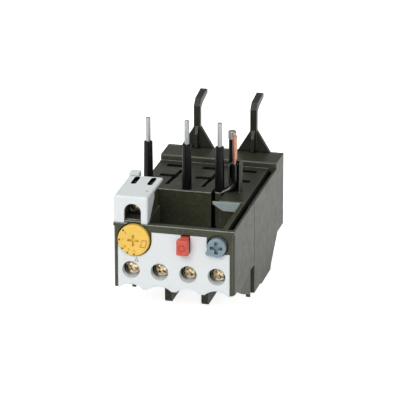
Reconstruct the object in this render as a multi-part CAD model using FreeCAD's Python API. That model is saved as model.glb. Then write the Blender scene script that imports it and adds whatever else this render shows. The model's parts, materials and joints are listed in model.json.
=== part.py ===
"""Thermal overload relay for a three-pole contactor, as an assembly of separate pieces.

Construction frame: X runs left to right across the poles, Y from the front frame to the rear,
Z up from the resting plane. Every piece is drawn there, with the front frame at Y = 0, and is
moved once at the end so that the origin is the middle of the footprint of the bounding box.
All lengths are in millimetres and all angles in degrees.
"""
import FreeCAD
import Part
import math
import os

Vector = FreeCAD.Vector

# ---- fits --------------------------------------------------------------------------------
SEAT = 0.1            # between still pieces that sit in one another
RUN = 0.3             # around a moving piece
BEARING = 0.05        # radial, between a shaft and its bore

# ---- body --------------------------------------------------------------------------------
BODY_WIDTH = 45.0
BODY_DEPTH = 82.7     # front frame to the back of the rear cover
DECK_HEIGHT = 37.0    # resting plane to the deck
WALL = 1.6            # outer walls
FLOOR = 1.8
SKIN = 1.2            # inner walls and floors
DECK_THICKNESS = 1.6
HALF = BODY_WIDTH / 2
INNER = HALF - WALL   # inside face of a side wall

FRONT_FACE_HEIGHT = 24.8   # deck down to the lower edge of the front
NOSE_DEPTH = 5.5           # level part of that lower edge
GUARD_KNEE = (19.0, 5.8)   # where the slanted lower edge of the side wall eases off
GUARD_TOE = (25.6, 3.3)
FLAT_START = 27.0          # start of the level underside
UNDERSIDE = 1.0            # its height above the resting plane
FOOT_START = 44.5          # the rear foot, which stands on the resting plane
FOOT_END = 60.5
FOOT_RAMP = 1.0
TAIL_KNEE = (66.3, 6.0)
TAIL_START = 72.6          # where the lower edge levels out behind the foot
TAIL_HEIGHT = 10.9
FRONT_BOTTOM = DECK_HEIGHT - FRONT_FACE_HEIGHT

FRAME_CHAMFER = (0.7, 1.5)   # front upright edges, across and back
TOP_FLANGE = 1.3             # height of the square upper edge above those chamfers
LEDGE_DEPTH = 2.2            # level top of the front rib between the face and the valley
LEDGE_SLOPE = 1.5            # fall and run of its rear slope
FRONT_BLOCK_DEPTH = 14.6     # housing of the push buttons, behind the face
FRONT_BLOCK_DROP = 4.6       # its top, below the deck

SLOT_START = 26.5            # open slot low in each side wall
SLOT_END = 33.1
SLOT_TOP = 12.7
SLOT_FALL = 0.4
FACET_START = 10.9           # slanted facet in front of that slot
FACET_DEPTH = 0.9
FACET_FALL = 1.1
SEAM = 0.3                   # seam line up each side wall
SEAM_Y = 32.6

# ---- valley between the front and the deck ----------------------------------------------
VALLEY_DEPTH = 14.6
VALLEY_LEFT = -HALF + 6.6
VALLEY_REAR = 38.6
POCKET_LEFT = 4.6            # the pocket beside the rail
POCKET_NOTCH = (9.7, 44.0)   # the deeper corner that holds the right plug pin
POCKET_REAR = 30.7
RAIL_WIDTH = 1.6
GROOVE_WIDTH = 1.5
GROOVE_DEPTH = 3.0
WALL_LIP = 0.7               # level part of the side wall's upper edge
LIP_FALL = 1.5               # and the fall of its inner edge
RAIL_RIGHT = INNER - GROOVE_WIDTH
RAIL_LEFT = RAIL_RIGHT - RAIL_WIDTH
VALLEY_FLOOR = DECK_HEIGHT - VALLEY_DEPTH

# ---- deck --------------------------------------------------------------------------------
REAR_LEDGE_START = 69.8
REAR_LEDGE_RISE = 2.3
VENT_ROWS = (53.0, 64.0)
VENT_LENGTH = 6.0
VENT_WIDTH = 1.5
VENT_OFFSET = -1.4
RUNNEL_SPAN = (44.0, 61.5)
RUNNEL_LEAN = 2.0
RUNNEL_WIDTH = 1.7
DECK_CUT_DEPTH = 0.8

# ---- poles and terminals -----------------------------------------------------------------
POLE_MARGIN = 8.7            # outer poles to the sides of the body
POLE_PITCH = HALF - POLE_MARGIN
POLES = ("left", "centre", "right")
BARRIER_THICKNESS = 2.6
BARRIER_START = 19.3
BAY_REAR = 34.0
BAY_WALL = 1.6
CORRIDOR_FLOOR = 13.8        # upper face of the floor over the main terminal bays

AUX_PITCH = BODY_WIDTH / 4 - 0.61
AUX_SCREW_DROP = 17.85       # deck down to the auxiliary screws
AUX_HOLE = 6.5
AUX_HEAD = 5.4
AUX_HEAD_HEIGHT = 1.6
AUX_HEAD_FRONT = 2.9
AUX_SHANK = 3.5
AUX_BAY_WIDTH = 9.0
AUX_BAY_REAR = 9.0
AUX_BAY_WALL = 1.2
AUX_BAY_TOP = 24.4
AUX_CLAMP = (6.2, 0.8)
AUX_Z = DECK_HEIGHT - AUX_SCREW_DROP
AUX_X = [AUX_PITCH * (i - 1.5) for i in range(4)]

MAIN_Z = 8.0
MAIN_HEAD = 5.8
MAIN_HEAD_HEIGHT = 2.0
MAIN_HEAD_FRONT = 23.2
MAIN_SHANK = 4.0
MAIN_CLAMP = (6.8, 1.2)
MAIN_TAB = 1.2
BAR_WIDTH = 8.0
BAR_THICKNESS = 1.2
BAR_Z = 3.8

# ---- front plate and controls -------------------------------------------------------------
PLATE_HALF = HALF - 1.7
PLATE_DROP = 2.8             # deck down to its upper edge
PLATE_THICKNESS = 1.0
PLATE_FRONT = 0.1
SCALLOP_LOW = 25.2           # deck down to the lower tips of the plate
SCALLOP_HIGH = 23.4          # and to the crests under the screws

DIAL_X = -HALF + 7.85
DIAL_DROP = 5.94
DIAL_RADIUS = 5.9
DIAL_FRONT = -1.5
DIAL_THICKNESS = 2.3
DIAL_SHAFT = 4.0
DIAL_RECESS = 0.45           # radial room around the dial
DIAL_TURN = 120.0            # each way from the setting shown
CAM_START = 14.2
CAM_THICKNESS = 3.0
CAM_MEAN = 2.1               # cam radius at the setting shown
CAM_RISE = 0.6               # lift of the follower at full turn

STOP_X = 4.1
STOP_DROP = 6.45
STOP_SIZE = (4.45, 5.9)
STOP_FRONT = -4.0
STOP_HEAD = 2.1              # depth of its head
STOP_STEM = (2.75, 0.35)     # width of the stem behind the head, and its step to the right
STOP_TRAVEL = 1.6

RESET_X = HALF - 6.15
RESET_DROP = 5.85
RESET_RADIUS = 3.5
RESET_FRONT = -2.4
RESET_TRAVEL = 1.5
RESET_RECESS = 0.45
RESET_NOSE = 4.6             # tip of the pointer from the button's axis
RESET_NOSE_ANGLE = 215.0
RESET_NOSE_THICKNESS = 0.7

PLUNGER = 2.4                # diameter of both plunger stems
PLUNGER_Z = 29.3             # their common height, below the axes of the buttons
COLLAR = 0.8                 # thickness and overhang of their collars
BLOCK_REAR_WALL = 1.2
LEG_WIDTH = 2.4
LEG_THICKNESS = 1.0
SPRING_WIRE = 0.4
SPRING_TURNS = 4

DIAL_Z = DECK_HEIGHT - DIAL_DROP
STOP_Z = DECK_HEIGHT - STOP_DROP
RESET_Z = DECK_HEIGHT - RESET_DROP
PLATE_TOP = DECK_HEIGHT - PLATE_DROP
BLOCK_TOP = DECK_HEIGHT - FRONT_BLOCK_DROP
BLOCK_INNER_REAR = FRONT_BLOCK_DEPTH - BLOCK_REAR_WALL
FRONT_WALL_REAR = LEDGE_DEPTH + LEDGE_SLOPE

STOP_BACK = PLATE_FRONT + SEAT
RESET_BACK = 0.2
RESET_FLANGE = 0.6           # disc behind the reset button, on its plunger
BUTTON_ROOM = 3.6            # half width of the room of each push button
BLOCK_LID = 0.7              # its lid
STOP_FOOT = 2.0              # width of the stop button's foot
STOP_FOOT_END = 19.9         # and to the rear, up to the contact carrier

DIAL_CHAMFER = 0.4
DIAL_SLOT = (4.2, 0.9)       # driver slot, length and width
DIAL_SLOT_DEPTH = 0.9
CAM_OVERRUN = 20.0
CAM_POINTS = 15
STOP_FILLET = 0.6
RESET_SPINDLE = 2.4
NOSE_SPREAD = 0.75
NOSE_TIP = 0.5
KNOB_CHAMFER = 0.3
KNOB_SLOT = (4.4, 1.0)
KNOB_SLOT_DEPTH = 0.8
SCALLOP_FLAT = 1.8
WELL_WALL = 0.7
SCREW_SLOT_DEPTH = 0.6

# ---- coil terminal under its cap ------------------------------------------------------------
CAP_LEFT = -HALF + 0.1
CAP_RIGHT = CAP_LEFT + 12.7
CAP_HEIGHT = 10.3
CAP_DEPTH = 23.1
CAP_WALL = 1.2
CAP_SKIRT = 10.4             # depth of the side skirt at its upper end
CAP_SKIRT_FOOT = 1.9         # and at the deck
CAP_FRONT = 0.3
CAP_OPENING = 6.3            # width of the arched opening
CAP_OPENING_TOP = 7.5
CAP_X = CAP_LEFT + 7.1
CAP_SLOT = (2.0, 8.0)
CAP_SLOTS_X = (CAP_X - 3.35, CAP_X + 2.8)
CAP_SLOT_Y = CAP_DEPTH - 5.4
CAP_EAR = (CAP_LEFT + 0.2, CAP_LEFT + 3.8, 2.9)   # left, right and reach behind the cap
CAP_SKIRT_UPRIGHT = 2.1      # height of the skirt's upright edge
CAP_VENT = (CAP_RIGHT - 1.9, 7.2, 0.8)   # small hole in its top: place and diameter
TOWER_RISE = 8.9
TOWER_LEFT = -HALF + WALL
TOWER_RIGHT = CAP_RIGHT - 0.7   # right face of the block under the terminal cap
TOWER_REAR = CAP_DEPTH - 2.1
DECK_LEFT_START = CAP_DEPTH + 0.2   # the deck left of the valley starts behind the cap
COIL_SCREW_RISE = 4.7
COIL_BAY_REAR = 12.0
COIL_RECESS = 4.9
COIL_PLATE = 1.0
COIL_CLAMP = 5.8
CAP_FILLET = 0.8
EAR_RISE = 1.0

# ---- plug pins --------------------------------------------------------------------------
PIN_X = (-HALF + 2.5, -5.3, 7.2)
PIN_Y = 41.5
PIN_DIAMETER = 1.8
PIN_SHANK = 1.4              # inside the sleeve and below it
PIN_CHAMFER = 0.3
PIN_TOP = 26.6               # above the deck
SLEEVE_TOP = 17.2
SLEEVE_FOOT_DIAMETER = 3.6
SLEEVE_TIP_DIAMETER = 3.2
SLEEVE_MOUTH = (2.6, 1.2)     # diameter and depth of its mouth around the bare pin
PIN_LOW = 17.5
LINK_WIDTH = 1.6
LINK_THICKNESS = 0.8

# ---- auxiliary post, chimney and link wire -------------------------------------------------
POST = (10.6, 47.3)
POST_DIAMETER = 2.6
POST_CAP_DIAMETER = 3.1
POST_CAP_CHAMFER = 0.4
POST_TOP = 18.8
POST_CAP_TOP = 21.9
CHIMNEY = (12.75, 43.2)
CHIMNEY_RADIUS = 2.65
CHIMNEY_WALL = 0.8
CHIMNEY_LOW = 9.6
CHIMNEY_HIGH = 12.2
CHIMNEY_EXIT = 5.0           # height of the opening on its left, where the wire leaves
WIRE = (12.6, 43.0)
WIRE_DIAMETER = 2.8
CORE_DIAMETER = 1.7
CORE_TOP = 21.4
WIRE_TOP = 10.5
WIRE_BEND = 1.5
WIRE_BEND_RADIUS = 4.2
WIRE_FOOT = (8.0, 41.0, -0.7)   # its lower end beside the right pin, and the height over the deck

# ---- hooks on the rear cover -----------------------------------------------------------------
HOOK_X = 11.0
HOOK_BAR = 2.5
HOOK_THICKNESS = 2.2
HOOK_BASE = 12.6
HOOK_APEX = 8.4              # above the rear ledge
HOOK_BEND = 18.2
HOOK_REACH = 10.0            # tip behind the rear cover
HOOK_TIP_RISE = 1.4
HOOK_ARM = 2.6
HOOK_FILLET = 0.7
HOOK_RIB = (1.0, 1.7)

RIM_DEPTH = 1.4
LEDGE_FILLET = 0.5
COVER_FILLET = 0.6
INSERT_DROP = 0.3
INSERT_HEIGHT = 3.4
INSERT_STRIP = (2.5, 0.9)    # narrow strip left of the pocket's corner, and its height
INSERT_SLANT = 1.4
INSERT_THICKNESS = 0.5

# ---- trip mechanism -------------------------------------------------------------------------
BIMETAL_Y = 55.0
BIMETAL_WIDTH = 6.0
BIMETAL_THICKNESS = 1.0
BIMETAL_TOP = 32.0
BIMETAL_ROOT = BAR_Z + BAR_THICKNESS
HEATER_TURNS = 7
HEATER_LOW = 8.0
HEATER_HIGH = 22.0
HEATER_RIBBON = (0.5, 1.2)
HEATER_GAP = 0.3
SLIDER_THICKNESS = 1.2
SLIDER_WIDTH = 8.4
SLIDER_LOW = 27.6
SLIDER_SPACE = 0.6
SLIDER_END = HALF - 3.9
PIVOT = (-POLE_PITCH - 0.2, 42.2)
AXLE_DIAMETER = 1.6
HUB_DIAMETER = 3.4
SHELF_REAR = 45.0
SHELF_REACH = 3.6            # shelf under the trip lever, beyond its axle
PARTITION_REAR = 66.0
FOLLOWER_HALF = 1.2
FOLLOWER_STEP = 1.0          # the bar stands back from the pad on the cam
CARRIER_TRAVEL = 1.2
CARRIER_Y = 23.5
CARRIER_DEPTH = 3.0
CARRIER_HALF = 17.6
BRIDGE = (12.6, 0.8, 2.2)    # length, thickness, height
TAB_Y = 19.6
TAB_THICKNESS = 0.8
TAB_WIDTH = 3.0
CONTACT_GAP = 0.05
CONTACT_DIAMETER = 2.0

LEVER_SPREAD = 2.5           # sideways step from the axle to the slider's pin
LEVER_PIN = 1.6
PIN_HOLE = 2.3
LEVER_TIP = 2.6
YOKE_SPACE = 0.5
YOKE = (-0.8, 1.5)            # sides of the yoke's post behind the lever's tip
ELBOW = 2.2                  # the tip stands beside the end of the lever's arm
ARM_HALF = 1.0
ARM_LOW = 15.6
COMPENSATION = 0.8
STRIP_LOW = 23.4
STRIP_HIGH = 27.0
DIFF_PINS = (-9.4, -5.0)
DIFF_PIN = 1.4
DIFF_WIDTH = 3.0
SLIDER_SHORTER = 1.2
FOLLOWER_THICKNESS = 1.6
FOLLOWER_REAR = 38.5
FINGER = 1.6
RIVET = 0.6
STRIP_LIFT = 0.6
CARRIER_TOP = 19.4
AUX_TAB_FRONT = 6.0
MAIN_TAB_FRONT = 27.6
MAIN_SCREW_END = 3.5
JAW = 2.4
LINK_SPACE = 0.9


# ---- drawing helpers -----------------------------------------------------------------------
def box(x0, x1, y0, y1, z0, z1):
    return Part.makeBox(x1 - x0, y1 - y0, z1 - z0, Vector(x0, y0, z0))


def rod_y(x, z, radius, y0, y1):
    return Part.makeCylinder(radius, y1 - y0, Vector(x, y0, z), Vector(0, 1, 0))


def rod_z(x, y, radius, z0, z1):
    return Part.makeCylinder(radius, z1 - z0, Vector(x, y, z0), Vector(0, 0, 1))


def face_of(points):
    return Part.Face(Part.makePolygon(points + points[:1]))


def prism_x(outline, x0, x1):
    """Extrude (y, z) points along X."""
    return face_of([Vector(x0, y, z) for y, z in outline]).extrude(Vector(x1 - x0, 0, 0))


def prism_y(outline, y0, y1):
    """Extrude (x, z) points along Y."""
    return face_of([Vector(x, y0, z) for x, z in outline]).extrude(Vector(0, y1 - y0, 0))


def prism_z(outline, z0, z1):
    """Extrude (x, y) points along Z."""
    return face_of([Vector(x, y, z0) for x, y in outline]).extrude(Vector(0, 0, z1 - z0))


def fuse(shapes):
    whole = shapes[0]
    if len(shapes) > 1:
        whole = whole.multiFuse(shapes[1:])
    return whole.removeSplitter()


def cut(shape, tools):
    return shape.cut(Part.makeCompound(tools)) if tools else shape


def pole_x(index):
    return POLE_PITCH * (index - 1)


# ---- derived places ---------------------------------------------------------------------
COVER_THICKNESS = 1.8
COVER_FRONT = BODY_DEPTH - COVER_THICKNESS
CHAMBER_FRONT = BAY_REAR + BAY_WALL
CORRIDOR_FRONT = AUX_BAY_REAR + AUX_BAY_WALL
CORRIDOR_TOP = VALLEY_FLOOR - DECK_THICKNESS
DECK_UNDERSIDE = DECK_HEIGHT - DECK_THICKNESS
LEDGE_TOP = DECK_HEIGHT + REAR_LEDGE_RISE
NOTCH_RIGHT, NOTCH_REAR = POCKET_NOTCH
FAR = 100.0                  # beyond the body, for through cuts


# ---- housing ------------------------------------------------------------------------------
def side_outline():
    ramp_top = (FOOT_END + FOOT_RAMP, 2 * FOOT_RAMP)
    return [
        (0, DECK_HEIGHT), (0, FRONT_BOTTOM), (NOSE_DEPTH, FRONT_BOTTOM), GUARD_KNEE, GUARD_TOE,
        (FLAT_START, UNDERSIDE), (FOOT_START, UNDERSIDE), (FOOT_START + FOOT_RAMP, 0),
        (FOOT_END, 0), ramp_top, TAIL_KNEE, (TAIL_START, TAIL_HEIGHT),
        (COVER_FRONT, TAIL_HEIGHT), (COVER_FRONT, DECK_HEIGHT),
    ]


def ledge_outline():
    """Section of the front rib: level top, then a slope down to the block of the push buttons."""
    slope_foot = DECK_HEIGHT - LEDGE_SLOPE
    return [
        (-1, BLOCK_TOP), (-1, DECK_HEIGHT + 1), (LEDGE_DEPTH, DECK_HEIGHT + 1), (LEDGE_DEPTH, DECK_HEIGHT),
        (FRONT_WALL_REAR, slope_foot), (FRONT_WALL_REAR, BLOCK_TOP),
    ]


def chamber_space():
    """Hollow of the bimetal chamber, open at the top and at the rear."""
    outline = face_of([Vector(0, y, z) for y, z in side_outline()])
    inset = Part.Face(outline.makeOffset2D(-FLOOR).Wires[0])
    hollow = inset.extrude(Vector(2 * INNER, 0, 0))
    hollow.translate(Vector(-INNER, 0, 0))
    hollow = hollow.common(box(-FAR, FAR, CHAMBER_FRONT, FAR, 0, FAR))
    top = box(-INNER, INNER, CHAMBER_FRONT, COVER_FRONT - FLOOR, DECK_HEIGHT - FLOOR - 1, FAR)
    rear = box(-INNER, INNER, COVER_FRONT - FLOOR - 1, FAR, TAIL_HEIGHT + FLOOR, FAR)
    return [hollow, top, rear]


def valley_space():
    """The open valley behind the front rib, and the room for the deck cover's walls beside it."""
    behind_block = box(TOWER_RIGHT, RAIL_LEFT, FRONT_BLOCK_DEPTH, TOWER_REAR, VALLEY_FLOOR, FAR)
    middle = box(VALLEY_LEFT, RAIL_LEFT, TOWER_REAR, POCKET_REAR, VALLEY_FLOOR, FAR)
    over_block = box(TOWER_RIGHT, RAIL_LEFT, -1, FRONT_BLOCK_DEPTH, BLOCK_TOP, FAR)
    over_block = over_block.cut(prism_x(ledge_outline(), -FAR, FAR))
    under_deck = box(VALLEY_LEFT - SKIN, INNER, POCKET_REAR, CHAMBER_FRONT, VALLEY_FLOOR, FAR)
    left_of_valley = box(-INNER, VALLEY_LEFT, DECK_LEFT_START, CHAMBER_FRONT, CORRIDOR_TOP, FAR)
    return [behind_block, middle, over_block, under_deck, left_of_valley]


def inner_rooms():
    corridor = box(-INNER, INNER, CORRIDOR_FRONT, CHAMBER_FRONT, CORRIDOR_FLOOR, CORRIDOR_TOP)
    cam_start = CAM_START - RUN
    cam_room = box(-INNER, TOWER_RIGHT - SKIN, cam_start, TOWER_REAR - SKIN, VALLEY_FLOOR, DECK_UNDERSIDE)
    passage = box(-INNER, VALLEY_LEFT - SKIN, TOWER_REAR - SKIN, CHAMBER_FRONT, CORRIDOR_TOP, DECK_UNDERSIDE)
    beside_rail = box(RAIL_LEFT + SKIN, INNER, FRONT_BLOCK_DEPTH, POCKET_REAR, CORRIDOR_TOP,
                      DECK_HEIGHT - GROOVE_DEPTH - SKIN)
    return [corridor, cam_room, passage, beside_rail]


def groove_space():
    groove = box(RAIL_RIGHT, INNER, LEDGE_DEPTH, CHAMBER_FRONT, DECK_HEIGHT - GROOVE_DEPTH, FAR)
    lip = prism_y([(INNER - 1, DECK_HEIGHT - LIP_FALL), (INNER, DECK_HEIGHT - LIP_FALL),
                   (HALF - WALL_LIP, DECK_HEIGHT + SEAT), (INNER - 1, DECK_HEIGHT + SEAT)],
                  LEDGE_DEPTH, REAR_LEDGE_START)
    return [groove, lip]


def aux_bay_space():
    spaces = []
    for x in AUX_X:
        half = AUX_BAY_WIDTH / 2
        spaces.append(box(x - half, x + half, PLATE_FRONT, AUX_BAY_REAR, -1, AUX_BAY_TOP))
        half = TAB_WIDTH / 2 + SEAT
        low, high = contact_strip_heights()
        spaces.append(box(x - half, x + half, AUX_BAY_REAR - 1, CORRIDOR_FRONT + 1, low - SEAT, high + SEAT))
    return spaces


def main_bay_space():
    spaces = [box(-INNER, INNER, -1, BAY_REAR, -1, FRONT_BOTTOM)]
    half = BAR_WIDTH / 2 + SEAT
    for index in range(len(POLES)):
        x = pole_x(index)
        spaces.append(box(x - half, x + half, BAY_REAR - 1, CHAMBER_FRONT + 1,
                          BAR_Z - SEAT, BAR_Z + BAR_THICKNESS + SEAT))
    return spaces


def button_room(x):
    """Spring room behind the front wall for one push button, and the shaft behind it for its leg."""
    low, high = AUX_BAY_TOP + SKIN, BLOCK_TOP - BLOCK_LID
    room = box(x - BUTTON_ROOM, x + BUTTON_ROOM, FRONT_WALL_REAR, AUX_BAY_REAR, low, high)
    leg_half = LEG_WIDTH / 2 + RUN
    shaft = box(x - leg_half, x + leg_half, CORRIDOR_FRONT, BLOCK_INNER_REAR, CORRIDOR_FLOOR, high)
    bore = rod_y(x, PLUNGER_Z, PLUNGER / 2 + BEARING, -1, CORRIDOR_FRONT + 1)
    return [room, shaft, bore]


def front_recesses():
    dial_back = DIAL_FRONT + DIAL_THICKNESS + RUN
    dial = rod_y(DIAL_X, DIAL_Z, DIAL_RADIUS + DIAL_RECESS, -FAR, dial_back)
    dial_bore = rod_y(DIAL_X, DIAL_Z, DIAL_SHAFT / 2 + BEARING, 0, CAM_START)
    reset_back = RESET_BACK + RESET_FLANGE + RESET_TRAVEL + RUN
    reset = rod_y(RESET_X, RESET_Z, RESET_RADIUS + RESET_RECESS, -1, reset_back)
    left, right = stop_stem_sides(RUN)
    stop = box(left, right, -1, STOP_BACK + STOP_TRAVEL + RUN, STOP_Z - STOP_SIZE[1] / 2 - RUN, PLATE_TOP)
    return [dial, dial_bore, reset, stop]


def side_details(side):
    """Open slot, slanted facet, seam and front chamfer of one side wall (side is +1 or -1)."""
    outer = side * HALF
    rear_top = SLOT_TOP - SLOT_FALL
    slot = prism_x([(SLOT_START, -1), (SLOT_START, SLOT_TOP), (SLOT_END, rear_top), (SLOT_END, -1)],
                   *sorted((side * INNER, side * (HALF + 1))))
    facet = prism_z([(outer, SLOT_START), (outer + side, SLOT_START), (outer + side, FACET_START),
                     (outer - side * FACET_DEPTH, FACET_START)], -1, DECK_HEIGHT)
    facet = facet.common(prism_x([(FACET_START, FRONT_BOTTOM - FACET_FALL), (SLOT_START, SLOT_TOP),
                                  (SLOT_START, -1), (FACET_START, -1)], -FAR, FAR))
    seam = box(*sorted((outer, outer - side * SEAM)), SEAM_Y, SEAM_Y + SEAM, SLOT_TOP, FAR)
    across, back = FRAME_CHAMFER
    chamfer = prism_z([(outer + side, -1), (outer - side * across, -1), (outer - side * across, 0),
                       (outer, back), (outer + side, back)], -1, DECK_HEIGHT - TOP_FLANGE)
    return [slot, facet, seam, chamfer]


def barrier(side):
    """Partition between two main terminals; its lower front corner is eased."""
    x = side * POLE_PITCH / 2
    top = FRONT_BOTTOM + SKIN
    rear = BAY_REAR + SKIN
    outline = [(BARRIER_START, top), (BARRIER_START, FOOT_RAMP), (BARRIER_START + FOOT_RAMP, 0),
               (BAY_REAR - FOOT_RAMP, 0), (BAY_REAR, UNDERSIDE), (rear, UNDERSIDE + SKIN), (rear, top)]
    return prism_x(outline, x - BARRIER_THICKNESS / 2, x + BARRIER_THICKNESS / 2)


def coil_tower():
    """Block under the terminal cap: a bay for the coil terminal and two wells for its wires."""
    top = DECK_HEIGHT + TOWER_RISE
    front = CAP_FRONT + CAP_WALL + SEAT
    block = box(TOWER_LEFT, CAP_RIGHT - CAP_WALL - SEAT, front, TOWER_REAR - SEAT, DECK_HEIGHT - 1, top)
    half = CAP_OPENING / 2 + SEAT
    bay = box(CAP_X - half, CAP_X + half, front - 1, COIL_BAY_REAR, DECK_HEIGHT + SKIN, top - SKIN)
    long_slot = CAP_SLOT[1]
    wells = [box(x - CAP_SLOT[0] / 2, x + CAP_SLOT[0] / 2, CAP_SLOT_Y - long_slot / 2,
                 TOWER_REAR - SKIN, DECK_HEIGHT + SKIN, FAR) for x in CAP_SLOTS_X]
    tab = box(CAP_X - CAP_OPENING / 2 + SEAT, CAP_X + CAP_OPENING / 2 - SEAT, CAP_FRONT, front + SEAT,
              DECK_HEIGHT - 1, DECK_HEIGHT + 1)
    return block.cut(Part.makeCompound([bay] + wells)).fuse(tab)


def housing_base():
    """Main moulding: side walls, front frame, terminal bays, valley floor, rail and floor."""
    shell = prism_x(side_outline(), -HALF, HALF)
    plate_pocket = plate_outline(SEAT).extrude(Vector(0, PLATE_THICKNESS + 2 * SEAT + 1, 0))
    plate_pocket.translate(Vector(0, PLATE_FRONT - SEAT - 1, 0))
    under_plate = box(-PLATE_HALF - SEAT, PLATE_HALF + SEAT, -1, PLATE_FRONT + PLATE_THICKNESS + SEAT,
                      0, DECK_HEIGHT - SCALLOP_HIGH)
    lowered_left = box(-FAR, VALLEY_LEFT, DECK_LEFT_START, FAR, DECK_UNDERSIDE, FAR)
    lowered_rear = box(-FAR, FAR, REAR_LEDGE_START, FAR, DECK_UNDERSIDE, FAR)
    tools = [plate_pocket, under_plate, lowered_left, lowered_rear]
    for group in (chamber_space(), valley_space(), inner_rooms(), groove_space(), aux_bay_space(),
                  main_bay_space(), side_details(1), side_details(-1),
                  button_room(STOP_X), button_room(RESET_X)):
        tools += group
    shell = shell.cut(tools)
    low, high = CORRIDOR_TOP, VALLEY_FLOOR
    valley_floor = box(VALLEY_LEFT - SKIN, RAIL_RIGHT, BAY_REAR, VALLEY_REAR + SKIN, low, high)
    notch_floor = box(POCKET_LEFT - SKIN, RAIL_RIGHT, BAY_REAR, NOTCH_REAR + SKIN, low, high)
    shelf = box(-INNER, PIVOT[0] + SHELF_REACH, BAY_REAR, SHELF_REAR, FRONT_BOTTOM, CORRIDOR_FLOOR)
    guide_rib = box(-INNER - SEAT, VALLEY_LEFT, DECK_LEFT_START - WALL, DECK_LEFT_START, CORRIDOR_TOP,
                    DIAL_Z - FOLLOWER_HALF - RUN)
    start = NOTCH_REAR + SKIN + SEAT
    walls = [box(side * POLE_PITCH / 2 - SKIN / 2, side * POLE_PITCH / 2 + SKIN / 2, start,
                 PARTITION_REAR, FLOOR, SLIDER_LOW - RUN) for side in (-1, 1)]
    whole = fuse([shell, valley_floor, notch_floor, shelf, guide_rib, barrier(-1), barrier(1),
                  coil_tower()] + walls)
    x, y = PIVOT
    holes = front_recesses() + [rod_z(x, y, AXLE_DIAMETER / 2, FRONT_BOTTOM + SKIN / 2, CORRIDOR_FLOOR + 1)]
    for px in PIN_X:
        holes.append(rod_z(px, PIN_Y, PIN_DIAMETER / 2 + SEAT, CORRIDOR_TOP - 1, VALLEY_FLOOR + 1))
    return cut(whole, holes)


# ---- covers ---------------------------------------------------------------------------------
def deck_outline():
    """Plan of the deck around the valley and the pocket, from the tower to the rear cover."""
    return [
        (-HALF, DECK_LEFT_START + SEAT), (VALLEY_LEFT, DECK_LEFT_START + SEAT), (VALLEY_LEFT, VALLEY_REAR),
        (POCKET_LEFT, VALLEY_REAR), (POCKET_LEFT, NOTCH_REAR), (NOTCH_RIGHT, NOTCH_REAR),
        (NOTCH_RIGHT, POCKET_REAR + SEAT), (RAIL_RIGHT, POCKET_REAR + SEAT), (RAIL_RIGHT, REAR_LEDGE_START),
        (HALF, REAR_LEDGE_START), (HALF, COVER_FRONT), (-HALF, COVER_FRONT),
    ]


def deck_walls():
    """Walls that line the valley and the pocket, down to the valley floor."""
    low, high = VALLEY_FLOOR + SEAT, DECK_UNDERSIDE + SEAT
    left = VALLEY_LEFT - SKIN + SEAT
    start = POCKET_REAR + SEAT
    return [
        box(left, VALLEY_LEFT, DECK_LEFT_START + SEAT, VALLEY_REAR + SKIN, low, high),
        box(left, POCKET_LEFT, VALLEY_REAR, VALLEY_REAR + SKIN, low, high),
        box(POCKET_LEFT - SKIN, POCKET_LEFT, VALLEY_REAR, NOTCH_REAR + SKIN, low, high),
        box(POCKET_LEFT - SKIN, NOTCH_RIGHT + SKIN, NOTCH_REAR, NOTCH_REAR + SKIN, low, high),
        box(NOTCH_RIGHT, NOTCH_RIGHT + SKIN, start, NOTCH_REAR + SKIN, low, high),
        box(NOTCH_RIGHT, RAIL_RIGHT, start, start + SKIN, low, high),
    ]


def groove_edge():
    """Down-turned right edge of the deck and the floor of the groove beside it."""
    bottom = DECK_HEIGHT - GROOVE_DEPTH
    start = POCKET_REAR + SEAT
    edge = box(RAIL_RIGHT - SKIN, RAIL_RIGHT, start, REAR_LEDGE_START, bottom - SKIN, DECK_UNDERSIDE + SEAT)
    floor = box(RAIL_RIGHT - SKIN, INNER - SEAT, CHAMBER_FRONT + SEAT, REAR_LEDGE_START + SKIN,
                bottom - SKIN, bottom)
    return [edge, floor]


def rear_ledge():
    """Hollow raised ledge across the rear of the deck."""
    block = box(-HALF, HALF, REAR_LEDGE_START, COVER_FRONT, DECK_UNDERSIDE + SEAT, LEDGE_TOP)
    edges = [edge for edge in block.Edges
             if edge.BoundBox.ZMin > LEDGE_TOP - SEAT and edge.BoundBox.YMax < REAR_LEDGE_START + SEAT]
    block = block.makeFillet(LEDGE_FILLET, edges)
    hollow = box(-INNER, INNER, REAR_LEDGE_START + WALL, FAR, 0, LEDGE_TOP - WALL)
    return block.cut(hollow)


def chimney():
    """Tube around the link wire, open to the front and low on the left, with a slanted mouth."""
    x, y = CHIMNEY
    tube = rod_z(x, y, CHIMNEY_RADIUS, DECK_UNDERSIDE, DECK_HEIGHT + CHIMNEY_HIGH + SKIN)
    tube = tube.cut(rod_z(x, y, CHIMNEY_RADIUS - CHIMNEY_WALL, DECK_HEIGHT, FAR))
    outer = CHIMNEY_RADIUS + 1
    mouth = prism_y([(x - outer, DECK_HEIGHT + CHIMNEY_LOW), (x + outer, DECK_HEIGHT + CHIMNEY_HIGH),
                     (x + outer, FAR), (x - outer, FAR)], y - outer, y + outer)
    bore = CHIMNEY_RADIUS - CHIMNEY_WALL
    front = box(x - bore, x + bore, y - outer, y, DECK_HEIGHT, FAR)
    left = box(x - outer, x, y - outer, y + SKIN, DECK_HEIGHT, DECK_HEIGHT + CHIMNEY_EXIT)
    return tube.cut([mouth, front, left])


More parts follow.
